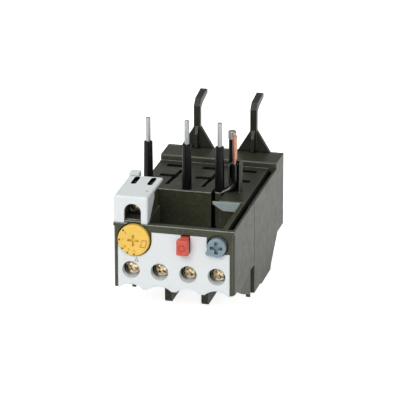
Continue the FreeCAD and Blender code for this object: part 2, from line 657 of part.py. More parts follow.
def deck_cover():
    """Deck, valley walls, rear ledge, chimney and the boss of the right plug pin."""
    plate = prism_z(deck_outline(), DECK_UNDERSIDE, DECK_HEIGHT)
    boss = rod_z(PIN_X[2], PIN_Y, SLEEVE_FOOT_DIAMETER / 2 + SEAT, VALLEY_FLOOR + SEAT, DECK_HEIGHT - SEAT)
    web = box(PIN_X[2] - SKIN / 2, PIN_X[2] + SKIN / 2, PIN_Y, NOTCH_REAR + SEAT,
              VALLEY_FLOOR + SEAT, DECK_UNDERSIDE)
    cover = fuse([plate, boss, web, rear_ledge(), chimney()] + deck_walls() + groove_edge())
    cuts = [box(-INNER, INNER, REAR_LEDGE_START + WALL, COVER_FRONT + 1, 0, LEDGE_TOP - WALL),
            bent_tube(wire_path(), WIRE_DIAMETER / 2 + SEAT, WIRE_BEND_RADIUS)]
    for index in range(len(POLES)):
        x = pole_x(index) + VENT_OFFSET
        for y in VENT_ROWS:
            cuts.append(box(x - VENT_LENGTH / 2, x + VENT_LENGTH / 2, y, y + VENT_WIDTH, 0, FAR))
    front, rear = RUNNEL_SPAN
    for index in range(2):
        x = pole_x(index)
        half = RUNNEL_WIDTH / 2
        cuts.append(prism_z([(x - half, front), (x + half, front), (x + RUNNEL_LEAN + half, rear),
                             (x + RUNNEL_LEAN - half, rear)], DECK_HEIGHT - DECK_CUT_DEPTH, FAR))
    for x in PIN_X:
        cuts.append(rod_z(x, PIN_Y, PIN_DIAMETER / 2 + SEAT / 2, 0, FAR))
    cuts.append(rod_z(POST[0], POST[1], POST_DIAMETER / 2, DECK_HEIGHT - DECK_CUT_DEPTH, FAR))
    return cut(cover, cuts)


def hook(x):
    """Latch hook: gusset and rib at the foot, slim bar, and an arm bent to the rear."""
    front = BODY_DEPTH - HOOK_THICKNESS
    foot = LEDGE_TOP - WALL
    half, base = HOOK_BAR / 2, HOOK_BASE / 2
    apex = LEDGE_TOP + HOOK_APEX
    bend = LEDGE_TOP + HOOK_BEND
    tip_y = BODY_DEPTH + HOOK_REACH
    tip_z = bend + HOOK_TIP_RISE
    gusset = prism_y([(x - base, foot), (x + base, foot), (x + base, LEDGE_TOP), (x + half, apex),
                      (x - half, apex), (x - base, LEDGE_TOP)], COVER_FRONT, BODY_DEPTH)
    arm = prism_x([
        (front, foot), (BODY_DEPTH, foot), (BODY_DEPTH, bend - HOOK_ARM),
        (BODY_DEPTH + HOOK_ARM, bend - HOOK_ARM / 2), (tip_y, tip_z - HOOK_ARM / 2), (tip_y, tip_z),
        (tip_y - HOOK_ARM / 2, tip_z + HOOK_ARM / 4), (BODY_DEPTH, bend + HOOK_ARM / 3),
        (front, bend - HOOK_ARM / 2),
    ], x - half, x + half)
    bends = [edge for edge in arm.Edges if edge.BoundBox.XLength > half and
             edge.BoundBox.ZMin > apex and edge.BoundBox.YMax < BODY_DEPTH + HOOK_ARM + SEAT]
    arm = arm.makeFillet(HOOK_FILLET, bends)
    wide, deep = HOOK_RIB
    rib = prism_x([(front, foot), (front - deep, LEDGE_TOP + SEAT), (front - deep, apex - HOOK_ARM),
                   (front, apex)], x - wide / 2, x + wide / 2)
    return fuse([gusset, arm, rib])


def rear_cover():
    """Plate over the rear of the housing with the two latch hooks on its upper edge."""
    plate = box(-HALF, HALF, COVER_FRONT + SEAT, BODY_DEPTH, TAIL_HEIGHT, LEDGE_TOP)
    edges = [edge for edge in plate.Edges if edge.BoundBox.YMin > BODY_DEPTH - SEAT]
    plate = plate.makeFillet(COVER_FILLET, edges)
    rim = box(-INNER + SEAT, INNER - SEAT, COVER_FRONT - RIM_DEPTH, COVER_FRONT + SKIN,
              TAIL_HEIGHT + FLOOR + SEAT, DECK_UNDERSIDE - SEAT)
    core = box(-INNER + SEAT + SKIN, INNER - SEAT - SKIN, 0, COVER_FRONT + SEAT,
               TAIL_HEIGHT + FLOOR + SEAT + SKIN, DECK_UNDERSIDE - SEAT - SKIN)
    hooks = [hook(side * HOOK_X) for side in (-1, 1)]
    clear = [box(-FAR, FAR, 0, COVER_FRONT + SEAT, DECK_UNDERSIDE - SEAT, LEDGE_TOP + SEAT)]
    return cut(fuse([plate, rim.cut(core)] + hooks), clear)


# ---- front plate -----------------------------------------------------------------------------
def plate_outline(margin=0.0):
    """Face of the front plate, grown by a margin: scalloped below, cut away at the controls."""
    top = PLATE_TOP + margin
    half = PLATE_HALF + margin
    low = DECK_HEIGHT - SCALLOP_LOW
    high = DECK_HEIGHT - SCALLOP_HIGH
    arc_half = AUX_PITCH / 2 - SCALLOP_FLAT / 2
    edges = []
    corner = Vector(-half, 0, top)
    start = Vector(-half, 0, low)
    edges.append(Part.LineSegment(corner, start).toShape())
    for x in AUX_X:
        left = Vector(x - arc_half, 0, low)
        right = Vector(x + arc_half, 0, low)
        edges.append(Part.LineSegment(start, left).toShape())
        edges.append(Part.Arc(left, Vector(x, 0, high), right).toShape())
        start = right
    far_low = Vector(half, 0, low)
    far_top = Vector(half, 0, top)
    edges.append(Part.LineSegment(start, far_low).toShape())
    edges.append(Part.LineSegment(far_low, far_top).toShape())
    edges.append(Part.LineSegment(far_top, corner).toShape())
    face = Part.Face(Part.Wire(edges))
    dial = DIAL_RADIUS + DIAL_RECESS + SEAT - margin
    reset = RESET_RADIUS + RESET_RECESS + SEAT - margin
    islands = [
        rod_y(DIAL_X, DIAL_Z, dial, -1, 1),
        box(-FAR, DIAL_X + dial, -1, 1, DIAL_Z, FAR),
        rod_y(RESET_X, RESET_Z, reset, -1, 1),
        box(RESET_X - reset, FAR, -1, 1, RESET_Z, FAR),
        box(RESET_X, FAR, -1, 1, RESET_Z - RESET_RADIUS + RESET_RECESS + margin, FAR),
    ]
    return face.cut(islands)


def front_plate():
    """Pale front plate with a well around each auxiliary screw and an opening for the stop button."""
    plate = plate_outline().extrude(Vector(0, PLATE_THICKNESS, 0))
    plate.translate(Vector(0, PLATE_FRONT, 0))
    well_start, well_end = PLATE_FRONT + PLATE_THICKNESS / 2, AUX_HEAD_FRONT - SEAT
    wells = [rod_y(x, AUX_Z, AUX_HOLE / 2 + WELL_WALL, well_start, well_end) for x in AUX_X]
    holes = [rod_y(x, AUX_Z, AUX_HOLE / 2, -1, FAR) for x in AUX_X]
    left, right = stop_stem_sides(RUN)
    holes.append(box(left, right, -1, FAR, STOP_Z - STOP_SIZE[1] / 2 - RUN, FAR))
    return cut(fuse([plate] + wells), holes)


# ---- controls --------------------------------------------------------------------------------
def setting_dial():
    """Setting dial with its driver slot, shaft and spiral cam, in one piece."""
    back = DIAL_FRONT + DIAL_THICKNESS
    disc = rod_y(DIAL_X, DIAL_Z, DIAL_RADIUS, DIAL_FRONT, back)
    rim = [edge for edge in disc.Edges if edge.BoundBox.YMax < DIAL_FRONT + SEAT]
    disc = disc.makeChamfer(DIAL_CHAMFER, rim)
    shaft = rod_y(DIAL_X, DIAL_Z, DIAL_SHAFT / 2, back - SEAT, CAM_START + SEAT)
    slots = [box(DIAL_X - long / 2, DIAL_X + long / 2, DIAL_FRONT - 1, DIAL_FRONT + DIAL_SLOT_DEPTH,
                 DIAL_Z - wide / 2, DIAL_Z + wide / 2)
             for long, wide in (DIAL_SLOT, DIAL_SLOT[::-1])]
    return cut(fuse([disc, shaft, dial_cam()]), slots)


def dial_cam():
    """Spiral cam whose radius changes evenly with the turn on the follower's side."""
    reach = DIAL_TURN + CAM_OVERRUN
    points = []
    for step in range(CAM_POINTS):
        turn = -reach + 2 * reach * step / (CAM_POINTS - 1)
        radius = CAM_MEAN + CAM_RISE * turn / DIAL_TURN
        angle = math.radians(180 + turn)
        points.append(Vector(DIAL_X + radius * math.cos(angle), CAM_START,
                             DIAL_Z + radius * math.sin(angle)))
    spiral = Part.BSplineCurve()
    spiral.interpolate(points)
    step_edge = Part.LineSegment(points[-1], points[0]).toShape()
    return Part.Face(Part.Wire([spiral.toShape(), step_edge])).extrude(Vector(0, CAM_THICKNESS, 0))


def setting_slider():
    """Follower of the cam: a pad on a bar over the guide rib, which reaches back beside the trip lever."""
    face = DIAL_X - CAM_MEAN - SEAT
    front = CAM_START + SEAT
    right = face - FOLLOWER_STEP
    low, high = DIAL_Z - FOLLOWER_HALF, DIAL_Z + FOLLOWER_HALF
    bar = box(right - FOLLOWER_THICKNESS, right, front, FOLLOWER_REAR, low, high)
    return fuse([bar, box(right - SEAT, face, front, CAM_START + CAM_THICKNESS, low, high)])


def stop_stem_sides(room=0.0):
    """Left and right side of the flat stem behind the head of the stop button, grown by a room."""
    width, step = STOP_STEM
    middle = STOP_X + step
    return middle - width / 2 - room, middle + width / 2 + room


def stop_button():
    """Red stop and test button: head, stems, collar and the leg down to the contact room."""
    wide, high = STOP_SIZE
    head_back = STOP_FRONT + STOP_HEAD
    low = STOP_Z - high / 2
    head = box(STOP_X - wide / 2, STOP_X + wide / 2, STOP_FRONT, head_back, low, low + high)
    rounded = [edge for edge in head.Edges if edge.BoundBox.YMin < STOP_FRONT + SEAT]
    head = head.makeFillet(STOP_FILLET, rounded)
    stem = box(*stop_stem_sides(), head_back - SEAT, STOP_BACK, low, PLATE_TOP - RUN)
    foot_low = contact_strip_heights()[1] + RUN
    foot_right = STOP_X - SKIN / 2
    foot = box(foot_right - STOP_FOOT, foot_right, CORRIDOR_FRONT + RUN, STOP_FOOT_END,
               foot_low, foot_low + LEG_WIDTH / 2)
    return fuse([head, stem, foot] + plunger(STOP_X, STOP_BACK, STOP_TRAVEL))


def plunger(x, head_back, travel):
    """Stem, collar and leg behind the head of a push button."""
    leg_front = CORRIDOR_FRONT + RUN
    stem_end = BLOCK_INNER_REAR - travel - RUN
    collar = FRONT_WALL_REAR + BEARING
    leg_low = contact_strip_heights()[1] + RUN
    half = LEG_WIDTH / 2
    return [
        rod_y(x, PLUNGER_Z, PLUNGER / 2, head_back - SEAT, stem_end),
        rod_y(x, PLUNGER_Z, PLUNGER / 2 + COLLAR, collar, collar + COLLAR),
        box(x - half, x + half, leg_front, leg_front + LEG_THICKNESS, leg_low, PLUNGER_Z),
    ]


def reset_plunger():
    """Plunger of the reset button: spindle and flange on the button's axis, stem below it."""
    back = RESET_BACK + RESET_FLANGE
    spindle = rod_y(RESET_X, RESET_Z, RESET_SPINDLE / 2, RESET_FRONT + SKIN, RESET_BACK + SEAT)
    flange = rod_y(RESET_X, RESET_Z, RESET_RADIUS, RESET_BACK, back)
    return fuse([spindle, flange] + plunger(RESET_X, back, RESET_TRAVEL))


def reset_knob():
    """Reset button with its pointer nose, cross slot and the bore for the plunger's spindle."""
    disc = rod_y(RESET_X, RESET_Z, RESET_RADIUS, RESET_FRONT, RESET_BACK - BEARING)
    angle = math.radians(RESET_NOSE_ANGLE)
    along = Vector(math.cos(angle), 0, math.sin(angle))
    across = Vector(-math.sin(angle), 0, math.cos(angle))
    centre = Vector(RESET_X, RESET_FRONT, RESET_Z)
    tip = centre + along * RESET_NOSE
    corners = [centre + across * RESET_RADIUS * NOSE_SPREAD + along, tip + across * NOSE_TIP,
               tip - across * NOSE_TIP, centre - across * RESET_RADIUS * NOSE_SPREAD + along]
    nose = face_of(corners).extrude(Vector(0, RESET_NOSE_THICKNESS, 0))
    knob = fuse([disc, nose])
    rim = [edge for edge in knob.Edges
           if edge.BoundBox.YMax < RESET_FRONT + SEAT / 2 and edge.Curve.TypeId == "Part::GeomCircle"]
    knob = knob.makeChamfer(KNOB_CHAMFER, rim)
    slots = [box(RESET_X - long / 2, RESET_X + long / 2, RESET_FRONT - 1, RESET_FRONT + KNOB_SLOT_DEPTH,
                 RESET_Z - wide / 2, RESET_Z + wide / 2) for long, wide in (KNOB_SLOT, KNOB_SLOT[::-1])]
    bore = rod_y(RESET_X, RESET_Z, RESET_SPINDLE / 2 + BEARING, RESET_FRONT + SKIN - BEARING, FAR)
    return cut(knob, slots + [bore])


def coil_spring(x):
    """Pressure spring around a plunger, from its collar to the rear wall; its wire is drawn hexagonal."""
    start = FRONT_WALL_REAR + BEARING + COLLAR + SPRING_WIRE / 2 + SEAT
    end = AUX_BAY_REAR - SPRING_WIRE / 2 - SEAT
    radius = PLUNGER / 2 + SPRING_WIRE / 2 + RUN
    helix = Part.makeHelix((end - start) / SPRING_TURNS, end - start, radius)
    corners = [Vector(radius + SPRING_WIRE / 2 * math.cos(turn), 0, SPRING_WIRE / 2 * math.sin(turn))
               for turn in (math.radians(60 * step) for step in range(6))]
    section = Part.makePolygon(corners + corners[:1])
    spring = Part.Wire(helix).makePipeShell([section], True, True)
    spring.rotate(Vector(0, 0, 0), Vector(1, 0, 0), -90)
    spring.translate(Vector(x, start, PLUNGER_Z))
    return spring


# ---- coil terminal -----------------------------------------------------------------------------
def terminal_cap():
    """Pale cap over the coil terminal: arched opening, two wire slots, cut-back skirts and an ear."""
    top = DECK_HEIGHT + CAP_HEIGHT
    outer = box(CAP_LEFT, CAP_RIGHT, CAP_FRONT, CAP_DEPTH, DECK_HEIGHT, top)
    edges = [edge for edge in outer.Edges if edge.BoundBox.ZMin > top - SEAT or
             (edge.BoundBox.YMax < CAP_FRONT + SEAT and edge.BoundBox.ZLength > SEAT)]
    outer = outer.makeFillet(CAP_FILLET, edges)
    left, right, reach = CAP_EAR
    ear = box(left, right, CAP_DEPTH - CAP_WALL, CAP_DEPTH + reach, top - CAP_WALL, top + EAR_RISE)
    inner = box(CAP_LEFT + CAP_WALL, CAP_RIGHT - CAP_WALL, CAP_FRONT + CAP_WALL, FAR, 0, top - CAP_WALL)
    under = top - CAP_WALL
    skirt = prism_x([(CAP_SKIRT, under), (CAP_SKIRT, under - CAP_SKIRT_UPRIGHT),
                     (CAP_SKIRT_FOOT, DECK_HEIGHT - 1), (FAR, DECK_HEIGHT - 1), (FAR, under)], -FAR, FAR)
    half = CAP_OPENING / 2
    crown = DECK_HEIGHT + CAP_OPENING_TOP - half
    arch = [box(CAP_X - half, CAP_X + half, -1, CAP_FRONT + CAP_WALL + 1, 0, crown),
            rod_y(CAP_X, crown, half, -1, CAP_FRONT + CAP_WALL + 1)]
    wide, long = CAP_SLOT
    slots = []
    for x in CAP_SLOTS_X:
        for end in (-1, 1):
            slots.append(rod_z(x, CAP_SLOT_Y + end * (long - wide) / 2, wide / 2, under - 1, FAR))
        slots.append(box(x - wide / 2, x + wide / 2, CAP_SLOT_Y - (long - wide) / 2,
                         CAP_SLOT_Y + (long - wide) / 2, under - 1, FAR))
    x, y, diameter = CAP_VENT
    vent = rod_z(x, y, diameter / 2, under - 1, FAR)
    return cut(fuse([outer, ear]), [inner, skirt, vent] + arch + slots)


def screw(x, z, front, head, head_height, shank, length):
    """Flat-headed terminal screw with a cross slot, along Y."""
    body = fuse([rod_y(x, z, head / 2, front, front + head_height),
                 rod_y(x, z, shank / 2, front + head_height - SEAT, front + length)])
    depth = head_height * SCREW_SLOT_DEPTH
    long, wide = head * 0.8, head * 0.16
    slots = [box(x - a / 2, x + a / 2, front - 1, front + depth, z - b / 2, z + b / 2)
             for a, b in ((long, wide), (wide, long))]
    return cut(body, slots)


def clamp_plate(x, z, front, size, thickness, shank):
    plate = box(x - size / 2, x + size / 2, front, front + thickness, z - size / 2, z + size / 2)
    return plate.cut(rod_y(x, z, shank / 2 + SEAT, front - 1, front + thickness + 1))


def coil_terminal():
    """Screw, clamp plate and terminal plate under the cap."""
    z = DECK_HEIGHT + COIL_SCREW_RISE
    front = CAP_FRONT + CAP_WALL + COIL_RECESS
    size, thickness = AUX_CLAMP
    clamp_front = front + AUX_HEAD_HEIGHT + BEARING
    plate_front = COIL_BAY_REAR - RUN - COIL_PLATE - AUX_HEAD_HEIGHT
    plate = box(CAP_X - size / 2, CAP_X + size / 2, plate_front, plate_front + COIL_PLATE,
                DECK_HEIGHT + SKIN, DECK_HEIGHT + TOWER_RISE - SKIN)
    plate = plate.cut(rod_y(CAP_X, z, AUX_SHANK / 2, 0, FAR))
    length = COIL_BAY_REAR - RUN - front
    return {
        "coil_terminal_screw": screw(CAP_X, z, front, AUX_HEAD, AUX_HEAD_HEIGHT, AUX_SHANK, length),
        "coil_clamp_plate": clamp_plate(CAP_X, z, clamp_front, COIL_CLAMP, thickness, AUX_SHANK),
        "coil_terminal_plate": plate,
    }


# ---- auxiliary terminals and contacts ------------------------------------------------------------
def contact_strip_heights():
    low = CORRIDOR_FLOOR + STRIP_LIFT
    return low, low + TAB_THICKNESS


def fixed_contact(x, side):
    """Terminal tab, strip and contact tab; side is -1 with the rivet at the rear, +1 at the front."""
    low, high = contact_strip_heights()
    half = TAB_WIDTH / 2
    size = AUX_CLAMP[0] / 2
    front = AUX_TAB_FRONT
    tab = box(x - size, x + size, front, front + TAB_THICKNESS, low, AUX_Z + size)
    tab = tab.cut(rod_y(x, AUX_Z, AUX_SHANK / 2, 0, FAR))
    strip = box(x - half, x + half, front, TAB_Y + TAB_THICKNESS, low, high)
    upright = box(x - half, x + half, TAB_Y, TAB_Y + TAB_THICKNESS, low, CARRIER_TOP)
    middle = (CARRIER_TOP + high) / 2
    rivet_front = TAB_Y + TAB_THICKNESS - RIVET / 2 if side < 0 else TAB_Y - RIVET / 2
    rivet = rod_y(x, middle, CONTACT_DIAMETER / 2, rivet_front, rivet_front + RIVET)
    return fuse([tab, strip, upright, rivet])


def contact_bridge(x, front):
    """Bridge that joins two fixed contacts."""
    long, thick, high = BRIDGE
    middle = (CARRIER_TOP + contact_strip_heights()[1]) / 2
    return box(x - long / 2, x + long / 2, front, front + thick, middle - high / 2, middle + high / 2)


def bridge_fronts():
    """Front faces of the closed bridge behind its contacts and the open one before them."""
    closed = TAB_Y + TAB_THICKNESS + RIVET / 2 + CONTACT_GAP
    opened = TAB_Y - RIVET / 2 - CONTACT_GAP - CARRIER_TRAVEL - BRIDGE[1]
    return closed, opened


def contact_carrier():
    """Sliding bar with a finger to each bridge and a yoke for the tip of the trip lever."""
    low = CORRIDOR_FLOOR + RUN
    closed, opened = bridge_fronts()
    rear = CARRIER_Y + CARRIER_DEPTH / 2
    front = CARRIER_Y - CARRIER_DEPTH / 2
    bar = box(-CARRIER_HALF, CARRIER_HALF, front, rear, low, CARRIER_TOP)
    middle = (CARRIER_TOP + contact_strip_heights()[1]) / 2
    half = FINGER / 2
    fingers = [box(x - half, x + half, bridge_front + BRIDGE[1], front + SEAT, middle - half, middle + half)
               for x, bridge_front in ((-AUX_PITCH, closed), (AUX_PITCH, opened))]
    tip_y = lever_tip()[1]
    post = tip_y + LEVER_TIP / 2 + YOKE_SPACE
    floor = box(*YOKE, rear - SEAT, post + SKIN, low, low + TAB_THICKNESS)
    upright = box(*YOKE, post, post + SKIN, low, CARRIER_TOP)
    return fuse([bar, floor, upright] + fingers)


def lever_tip():
    """Rest place of the trip lever's front tip, between the carrier and its yoke."""
    return 0.0, CARRIER_Y + CARRIER_DEPTH / 2 + YOKE_SPACE + LEVER_TIP / 2


def aux_screws():
    front = AUX_HEAD_FRONT
    length = AUX_BAY_REAR - RUN - front
    return Part.makeCompound([screw(x, AUX_Z, front, AUX_HEAD, AUX_HEAD_HEIGHT, AUX_SHANK, length)
                              for x in AUX_X])


def aux_clamps():
    size, thickness = AUX_CLAMP
    front = AUX_HEAD_FRONT + AUX_HEAD_HEIGHT + BEARING
    return Part.makeCompound([clamp_plate(x, AUX_Z, front, size, thickness, AUX_SHANK) for x in AUX_X])


# ---- main terminals, heaters and bimetals ----------------------------------------------------------
def main_screws():
    front, length = MAIN_HEAD_FRONT, BAY_REAR - MAIN_SCREW_END - MAIN_HEAD_FRONT
    return Part.makeCompound([screw(pole_x(i), MAIN_Z, front, MAIN_HEAD, MAIN_HEAD_HEIGHT, MAIN_SHANK, length)
                              for i in range(len(POLES))])


def main_clamps():
    size, thickness = MAIN_CLAMP
    front = MAIN_HEAD_FRONT + MAIN_HEAD_HEIGHT + BEARING
    return Part.makeCompound([clamp_plate(pole_x(i), MAIN_Z, front, size, thickness, MAIN_SHANK)
                              for i in range(len(POLES))])


def terminal_bar(x):
    """Busbar from the clamp tab in the bay to the jaw at the foot of the bimetal."""
    half = BAR_WIDTH / 2
    rear = BIMETAL_Y + BIMETAL_WIDTH / 2
    bar = box(x - half, x + half, MAIN_TAB_FRONT, rear, BAR_Z, BAR_Z + BAR_THICKNESS)
    tab = box(x - half, x + half, MAIN_TAB_FRONT, MAIN_TAB_FRONT + MAIN_TAB, MAIN_Z - half, MAIN_Z + half)
    tab = tab.cut(rod_y(x, MAIN_Z, MAIN_SHANK / 2, 0, FAR))
    side = x + BIMETAL_THICKNESS / 2 + BEARING
    jaw = box(side, side + BAR_THICKNESS, BIMETAL_Y - BIMETAL_WIDTH / 2, rear, BAR_Z, BIMETAL_ROOT + JAW)
    return fuse([bar, tab, jaw])


def bimetal(x):
    """Bimetal strip standing on its busbar, its tip in the windows of both sliders."""
    half = BIMETAL_THICKNESS / 2
    side = BIMETAL_WIDTH / 2
    return box(x - half, x + half, BIMETAL_Y - side, BIMETAL_Y + side, BIMETAL_ROOT + SEAT, BIMETAL_TOP)


def heater(x):
    """Ribbon wound around the bimetal: every turn climbs on its front side."""
    thick, high = HEATER_RIBBON
    inner_x = BIMETAL_THICKNESS / 2 + HEATER_GAP
    inner_y = BIMETAL_WIDTH / 2 + HEATER_GAP
    outer_x, outer_y = inner_x + thick, inner_y + thick
    pitch = (HEATER_HIGH - HEATER_LOW) / HEATER_TURNS
    ribbon = []
    for turn in range(HEATER_TURNS):
        z = HEATER_LOW + turn * pitch
        sides = [box(x - outer_x, x - inner_x, BIMETAL_Y - outer_y, BIMETAL_Y + outer_y, z, z + high),
                 box(x - outer_x, x + outer_x, BIMETAL_Y + inner_y, BIMETAL_Y + outer_y, z, z + high),
                 box(x + inner_x, x + outer_x, BIMETAL_Y - outer_y, BIMETAL_Y + outer_y, z, z + high)]
        climb = prism_y([(x + outer_x, z), (x + outer_x, z + high), (x - outer_x, z + high + pitch),
                         (x - outer_x, z + pitch)], BIMETAL_Y - outer_y, BIMETAL_Y - inner_y)
        ribbon += sides + ([climb] if turn < HEATER_TURNS - 1 else [])
    return fuse(ribbon)


# ---- trip mechanism ----------------------------------------------------------------------------------
def slider_windows(low, high):
    half = BIMETAL_THICKNESS / 2 + RUN
    side = BIMETAL_WIDTH / 2 + RUN
    return [box(pole_x(i) - half, pole_x(i) + half, BIMETAL_Y - side, BIMETAL_Y + side, low - 1, high + 1)
            for i in range(len(POLES))]


def lever_pin_place():
    """Rest place of the pin that joins the compensation strip to the overload slider."""
    return PIVOT[0] - LEVER_SPREAD, BIMETAL_Y


def overload_slider():
    """Lower slider, pushed by all three bimetals and joined to the trip lever."""
    low, high = SLIDER_LOW, SLIDER_LOW + SLIDER_THICKNESS
    bar = box(-SLIDER_END, SLIDER_END, BIMETAL_Y - SLIDER_WIDTH / 2, BIMETAL_Y + SLIDER_WIDTH / 2, low, high)
    x, y = lever_pin_place()
    half = PIN_HOLE / 2
    hole = box(x - half, x + half, y - half - RUN, y + half + RUN, low - 1, high + 1)
    return cut(bar, slider_windows(low, high) + [hole])


def phase_loss_slider():
    """Upper slider, held back by a cold pole; the differential lever's pins pass through it."""
    low = SLIDER_LOW + SLIDER_THICKNESS + SLIDER_SPACE
    high = low + SLIDER_THICKNESS
    end = SLIDER_END - SLIDER_SHORTER
    bar = box(-end, end, BIMETAL_Y - SLIDER_WIDTH / 2, BIMETAL_Y + SLIDER_WIDTH / 2, low, high)
    holes = [rod_z(x, BIMETAL_Y, DIFF_PIN / 2 + RUN, low - 1, high + 1) for x in DIFF_PINS]
    return cut(bar, slider_windows(low, high) + holes)


def differential_lever():
    """Flat lever over both sliders, pinned to the lower one through the upper one."""
    top = SLIDER_LOW + 2 * SLIDER_THICKNESS + SLIDER_SPACE + RUN
    left, right = DIFF_PINS
    half = DIFF_WIDTH / 2
    bar = box(left - half, right + half, BIMETAL_Y - half, BIMETAL_Y + half, top, top + SKIN)
    pins = [rod_z(left, BIMETAL_Y, DIFF_PIN / 2, SLIDER_LOW + SLIDER_THICKNESS, top + SEAT),
            rod_z(right, BIMETAL_Y, DIFF_PIN / 2, top - SLIDER_THICKNESS, top + SEAT)]
    return fuse([bar] + pins)


def trip_lever():
    """Hub on its axle with the arm that reaches forward to the contact carrier."""
    x, y = PIVOT
    tip_x, tip_y = lever_tip()
    low = CORRIDOR_FLOOR + RUN
    hub = rod_z(x, y, HUB_DIAMETER / 2, low, SLIDER_LOW)
    elbow = (tip_x - ELBOW, tip_y)
    arm = prism_z(bar_outline(PIVOT, elbow, ARM_HALF), ARM_LOW, CARRIER_TOP)
    round_elbow = rod_z(*elbow, ARM_HALF, ARM_LOW, CARRIER_TOP)
    toe = prism_z(bar_outline(elbow, (tip_x, tip_y), ARM_HALF), ARM_LOW, CARRIER_TOP)
    tip = rod_z(tip_x, tip_y, LEVER_TIP / 2, ARM_LOW, CARRIER_TOP)
    lever = fuse([hub, arm, round_elbow, toe, tip])
    bore = rod_z(x, y, AXLE_DIAMETER / 2 + BEARING, 0, FAR)
    slot = bar_outline(PIVOT, lever_pin_place(), COMPENSATION / 2 + SEAT / 2)
    return cut(lever, [bore, prism_z(slot, STRIP_LOW, FAR)])


def bar_outline(start, end, half, inset=0.0):
    """Plan of a straight bar between two points, started a little beyond the first."""
    length = math.hypot(end[0] - start[0], end[1] - start[1])
    along = ((end[0] - start[0]) / length, (end[1] - start[1]) / length)
    across = (-along[1] * half, along[0] * half)
    x, y = start[0] + along[0] * inset, start[1] + along[1] * inset
    return [(x + across[0], y + across[1]), (end[0] + across[0], end[1] + across[1]),
            (end[0] - across[0], end[1] - across[1]), (x - across[0], y - across[1])]


def compensation_strip():
    """Bimetal strip in the hub's slot that carries the pin of the overload slider."""
    pin_x, pin_y = lever_pin_place()
    outline = bar_outline(PIVOT, (pin_x, pin_y), COMPENSATION / 2, AXLE_DIAMETER / 2 + BEARING + SEAT)
    strip = prism_z(outline, STRIP_LOW, STRIP_HIGH)
    pin = rod_z(pin_x, pin_y, LEVER_PIN / 2, STRIP_LOW, SLIDER_LOW + SLIDER_THICKNESS)
    return fuse([strip, pin])


def trip_axle():
    x, y = PIVOT
    return rod_z(x, y, AXLE_DIAMETER / 2, FRONT_BOTTOM + SKIN / 2, DECK_UNDERSIDE - SEAT)


# ---- plug pins, post and link wire ---------------------------------------------------------------------
def phase_pin(index):
    """Tinned plug pin and the link from its lower end towards the heater."""
    x = PIN_X[index]
    tip = DECK_HEIGHT + PIN_TOP
    shoulder = DECK_HEIGHT + SLEEVE_TOP
    bare = rod_z(x, PIN_Y, PIN_DIAMETER / 2, shoulder, tip)
    edges = [edge for edge in bare.Edges if edge.BoundBox.ZMin > tip - SEAT]
    bare = bare.makeChamfer(PIN_CHAMFER, edges)
    shank = rod_z(x, PIN_Y, PIN_SHANK / 2, PIN_LOW, shoulder + SEAT)
    half = LINK_WIDTH / 2
    low, high = PIN_LOW, PIN_LOW + LINK_THICKNESS
    rear = BIMETAL_Y - BIMETAL_WIDTH / 2
    run = max(x, pole_x(index) - POLE_PITCH / 2 + SKIN / 2 + RUN + half)
    aside = box(x - half, run + half, PIN_Y - half, PIN_Y + half, low, high)
    along = box(run - half, run + half, PIN_Y, rear, low, high)
    end = pole_x(index) - BIMETAL_THICKNESS / 2 - HEATER_GAP - HEATER_RIBBON[0] - LINK_SPACE
    inward = box(run - half, end, rear - LINK_WIDTH, rear, low, high)
    return fuse([bare, shank, aside, along, inward])


def pin_sleeve(index):
    """Insulating sleeve, slightly conical, with a wider mouth around the bare pin."""
    x = PIN_X[index]
    low = DECK_HEIGHT
    top = DECK_HEIGHT + SLEEVE_TOP
    cone = Part.makeCone(SLEEVE_FOOT_DIAMETER / 2, SLEEVE_TIP_DIAMETER / 2, top - low, Vector(x, PIN_Y, low))
    bore = rod_z(x, PIN_Y, PIN_SHANK / 2 + BEARING, low - 1, top + 1)
    wide, deep = SLEEVE_MOUTH
    mouth = rod_z(x, PIN_Y, wide / 2, top - deep, top + 1)
    return cut(cone, [bore, mouth])


def aux_post():
    x, y = POST
    return rod_z(x, y, POST_DIAMETER / 2, DECK_HEIGHT - DECK_CUT_DEPTH, DECK_HEIGHT + POST_TOP)


def aux_post_cap():
    """Metal ferrule on the post."""
    x, y = POST
    low = DECK_HEIGHT + POST_TOP
    ferrule = rod_z(x, y, POST_CAP_DIAMETER / 2, low, DECK_HEIGHT + POST_CAP_TOP)
    edges = [edge for edge in ferrule.Edges if edge.BoundBox.ZMin > low + SEAT]
    return ferrule.makeChamfer(POST_CAP_CHAMFER, edges)


def wire_path():
    """Centre line of the link wire: down the chimney, then aside to the root of the right pin."""
    x, y = WIRE
    top = Vector(x, y, DECK_HEIGHT + WIRE_TOP)
    knee = Vector(x, y, DECK_HEIGHT + WIRE_BEND)
    foot = Vector(*WIRE_FOOT) + Vector(0, 0, DECK_HEIGHT)
    return top, knee, foot


def bent_tube(points, radius, bend):
    """Round tube along two straight runs joined by a tangent arc."""
    top, knee, foot = points
    first = (top - knee).normalize()
    second = (foot - knee).normalize()
    half_turn = (math.pi - first.getAngle(second)) / 2
    setback = bend * math.tan(half_turn)
    start = knee + first * setback
    end = knee + second * setback
    middle_way = (first + second).normalize()
    centre = knee + middle_way * (bend / math.cos(half_turn))
    middle = centre - middle_way * bend
    path = Part.Wire([Part.LineSegment(top, start).toShape(), Part.Arc(start, middle, end).toShape(),
                      Part.LineSegment(end, foot).toShape()])
    section = Part.Wire(Part.makeCircle(radius, top, first))
    return path.makePipeShell([section], True, True)


def link_wire_insulation():
    tube = bent_tube(wire_path(), WIRE_DIAMETER / 2, WIRE_BEND_RADIUS)
    return tube.cut(rod_z(PIN_X[2], PIN_Y, SLEEVE_FOOT_DIAMETER / 2 + SEAT, 0, FAR))


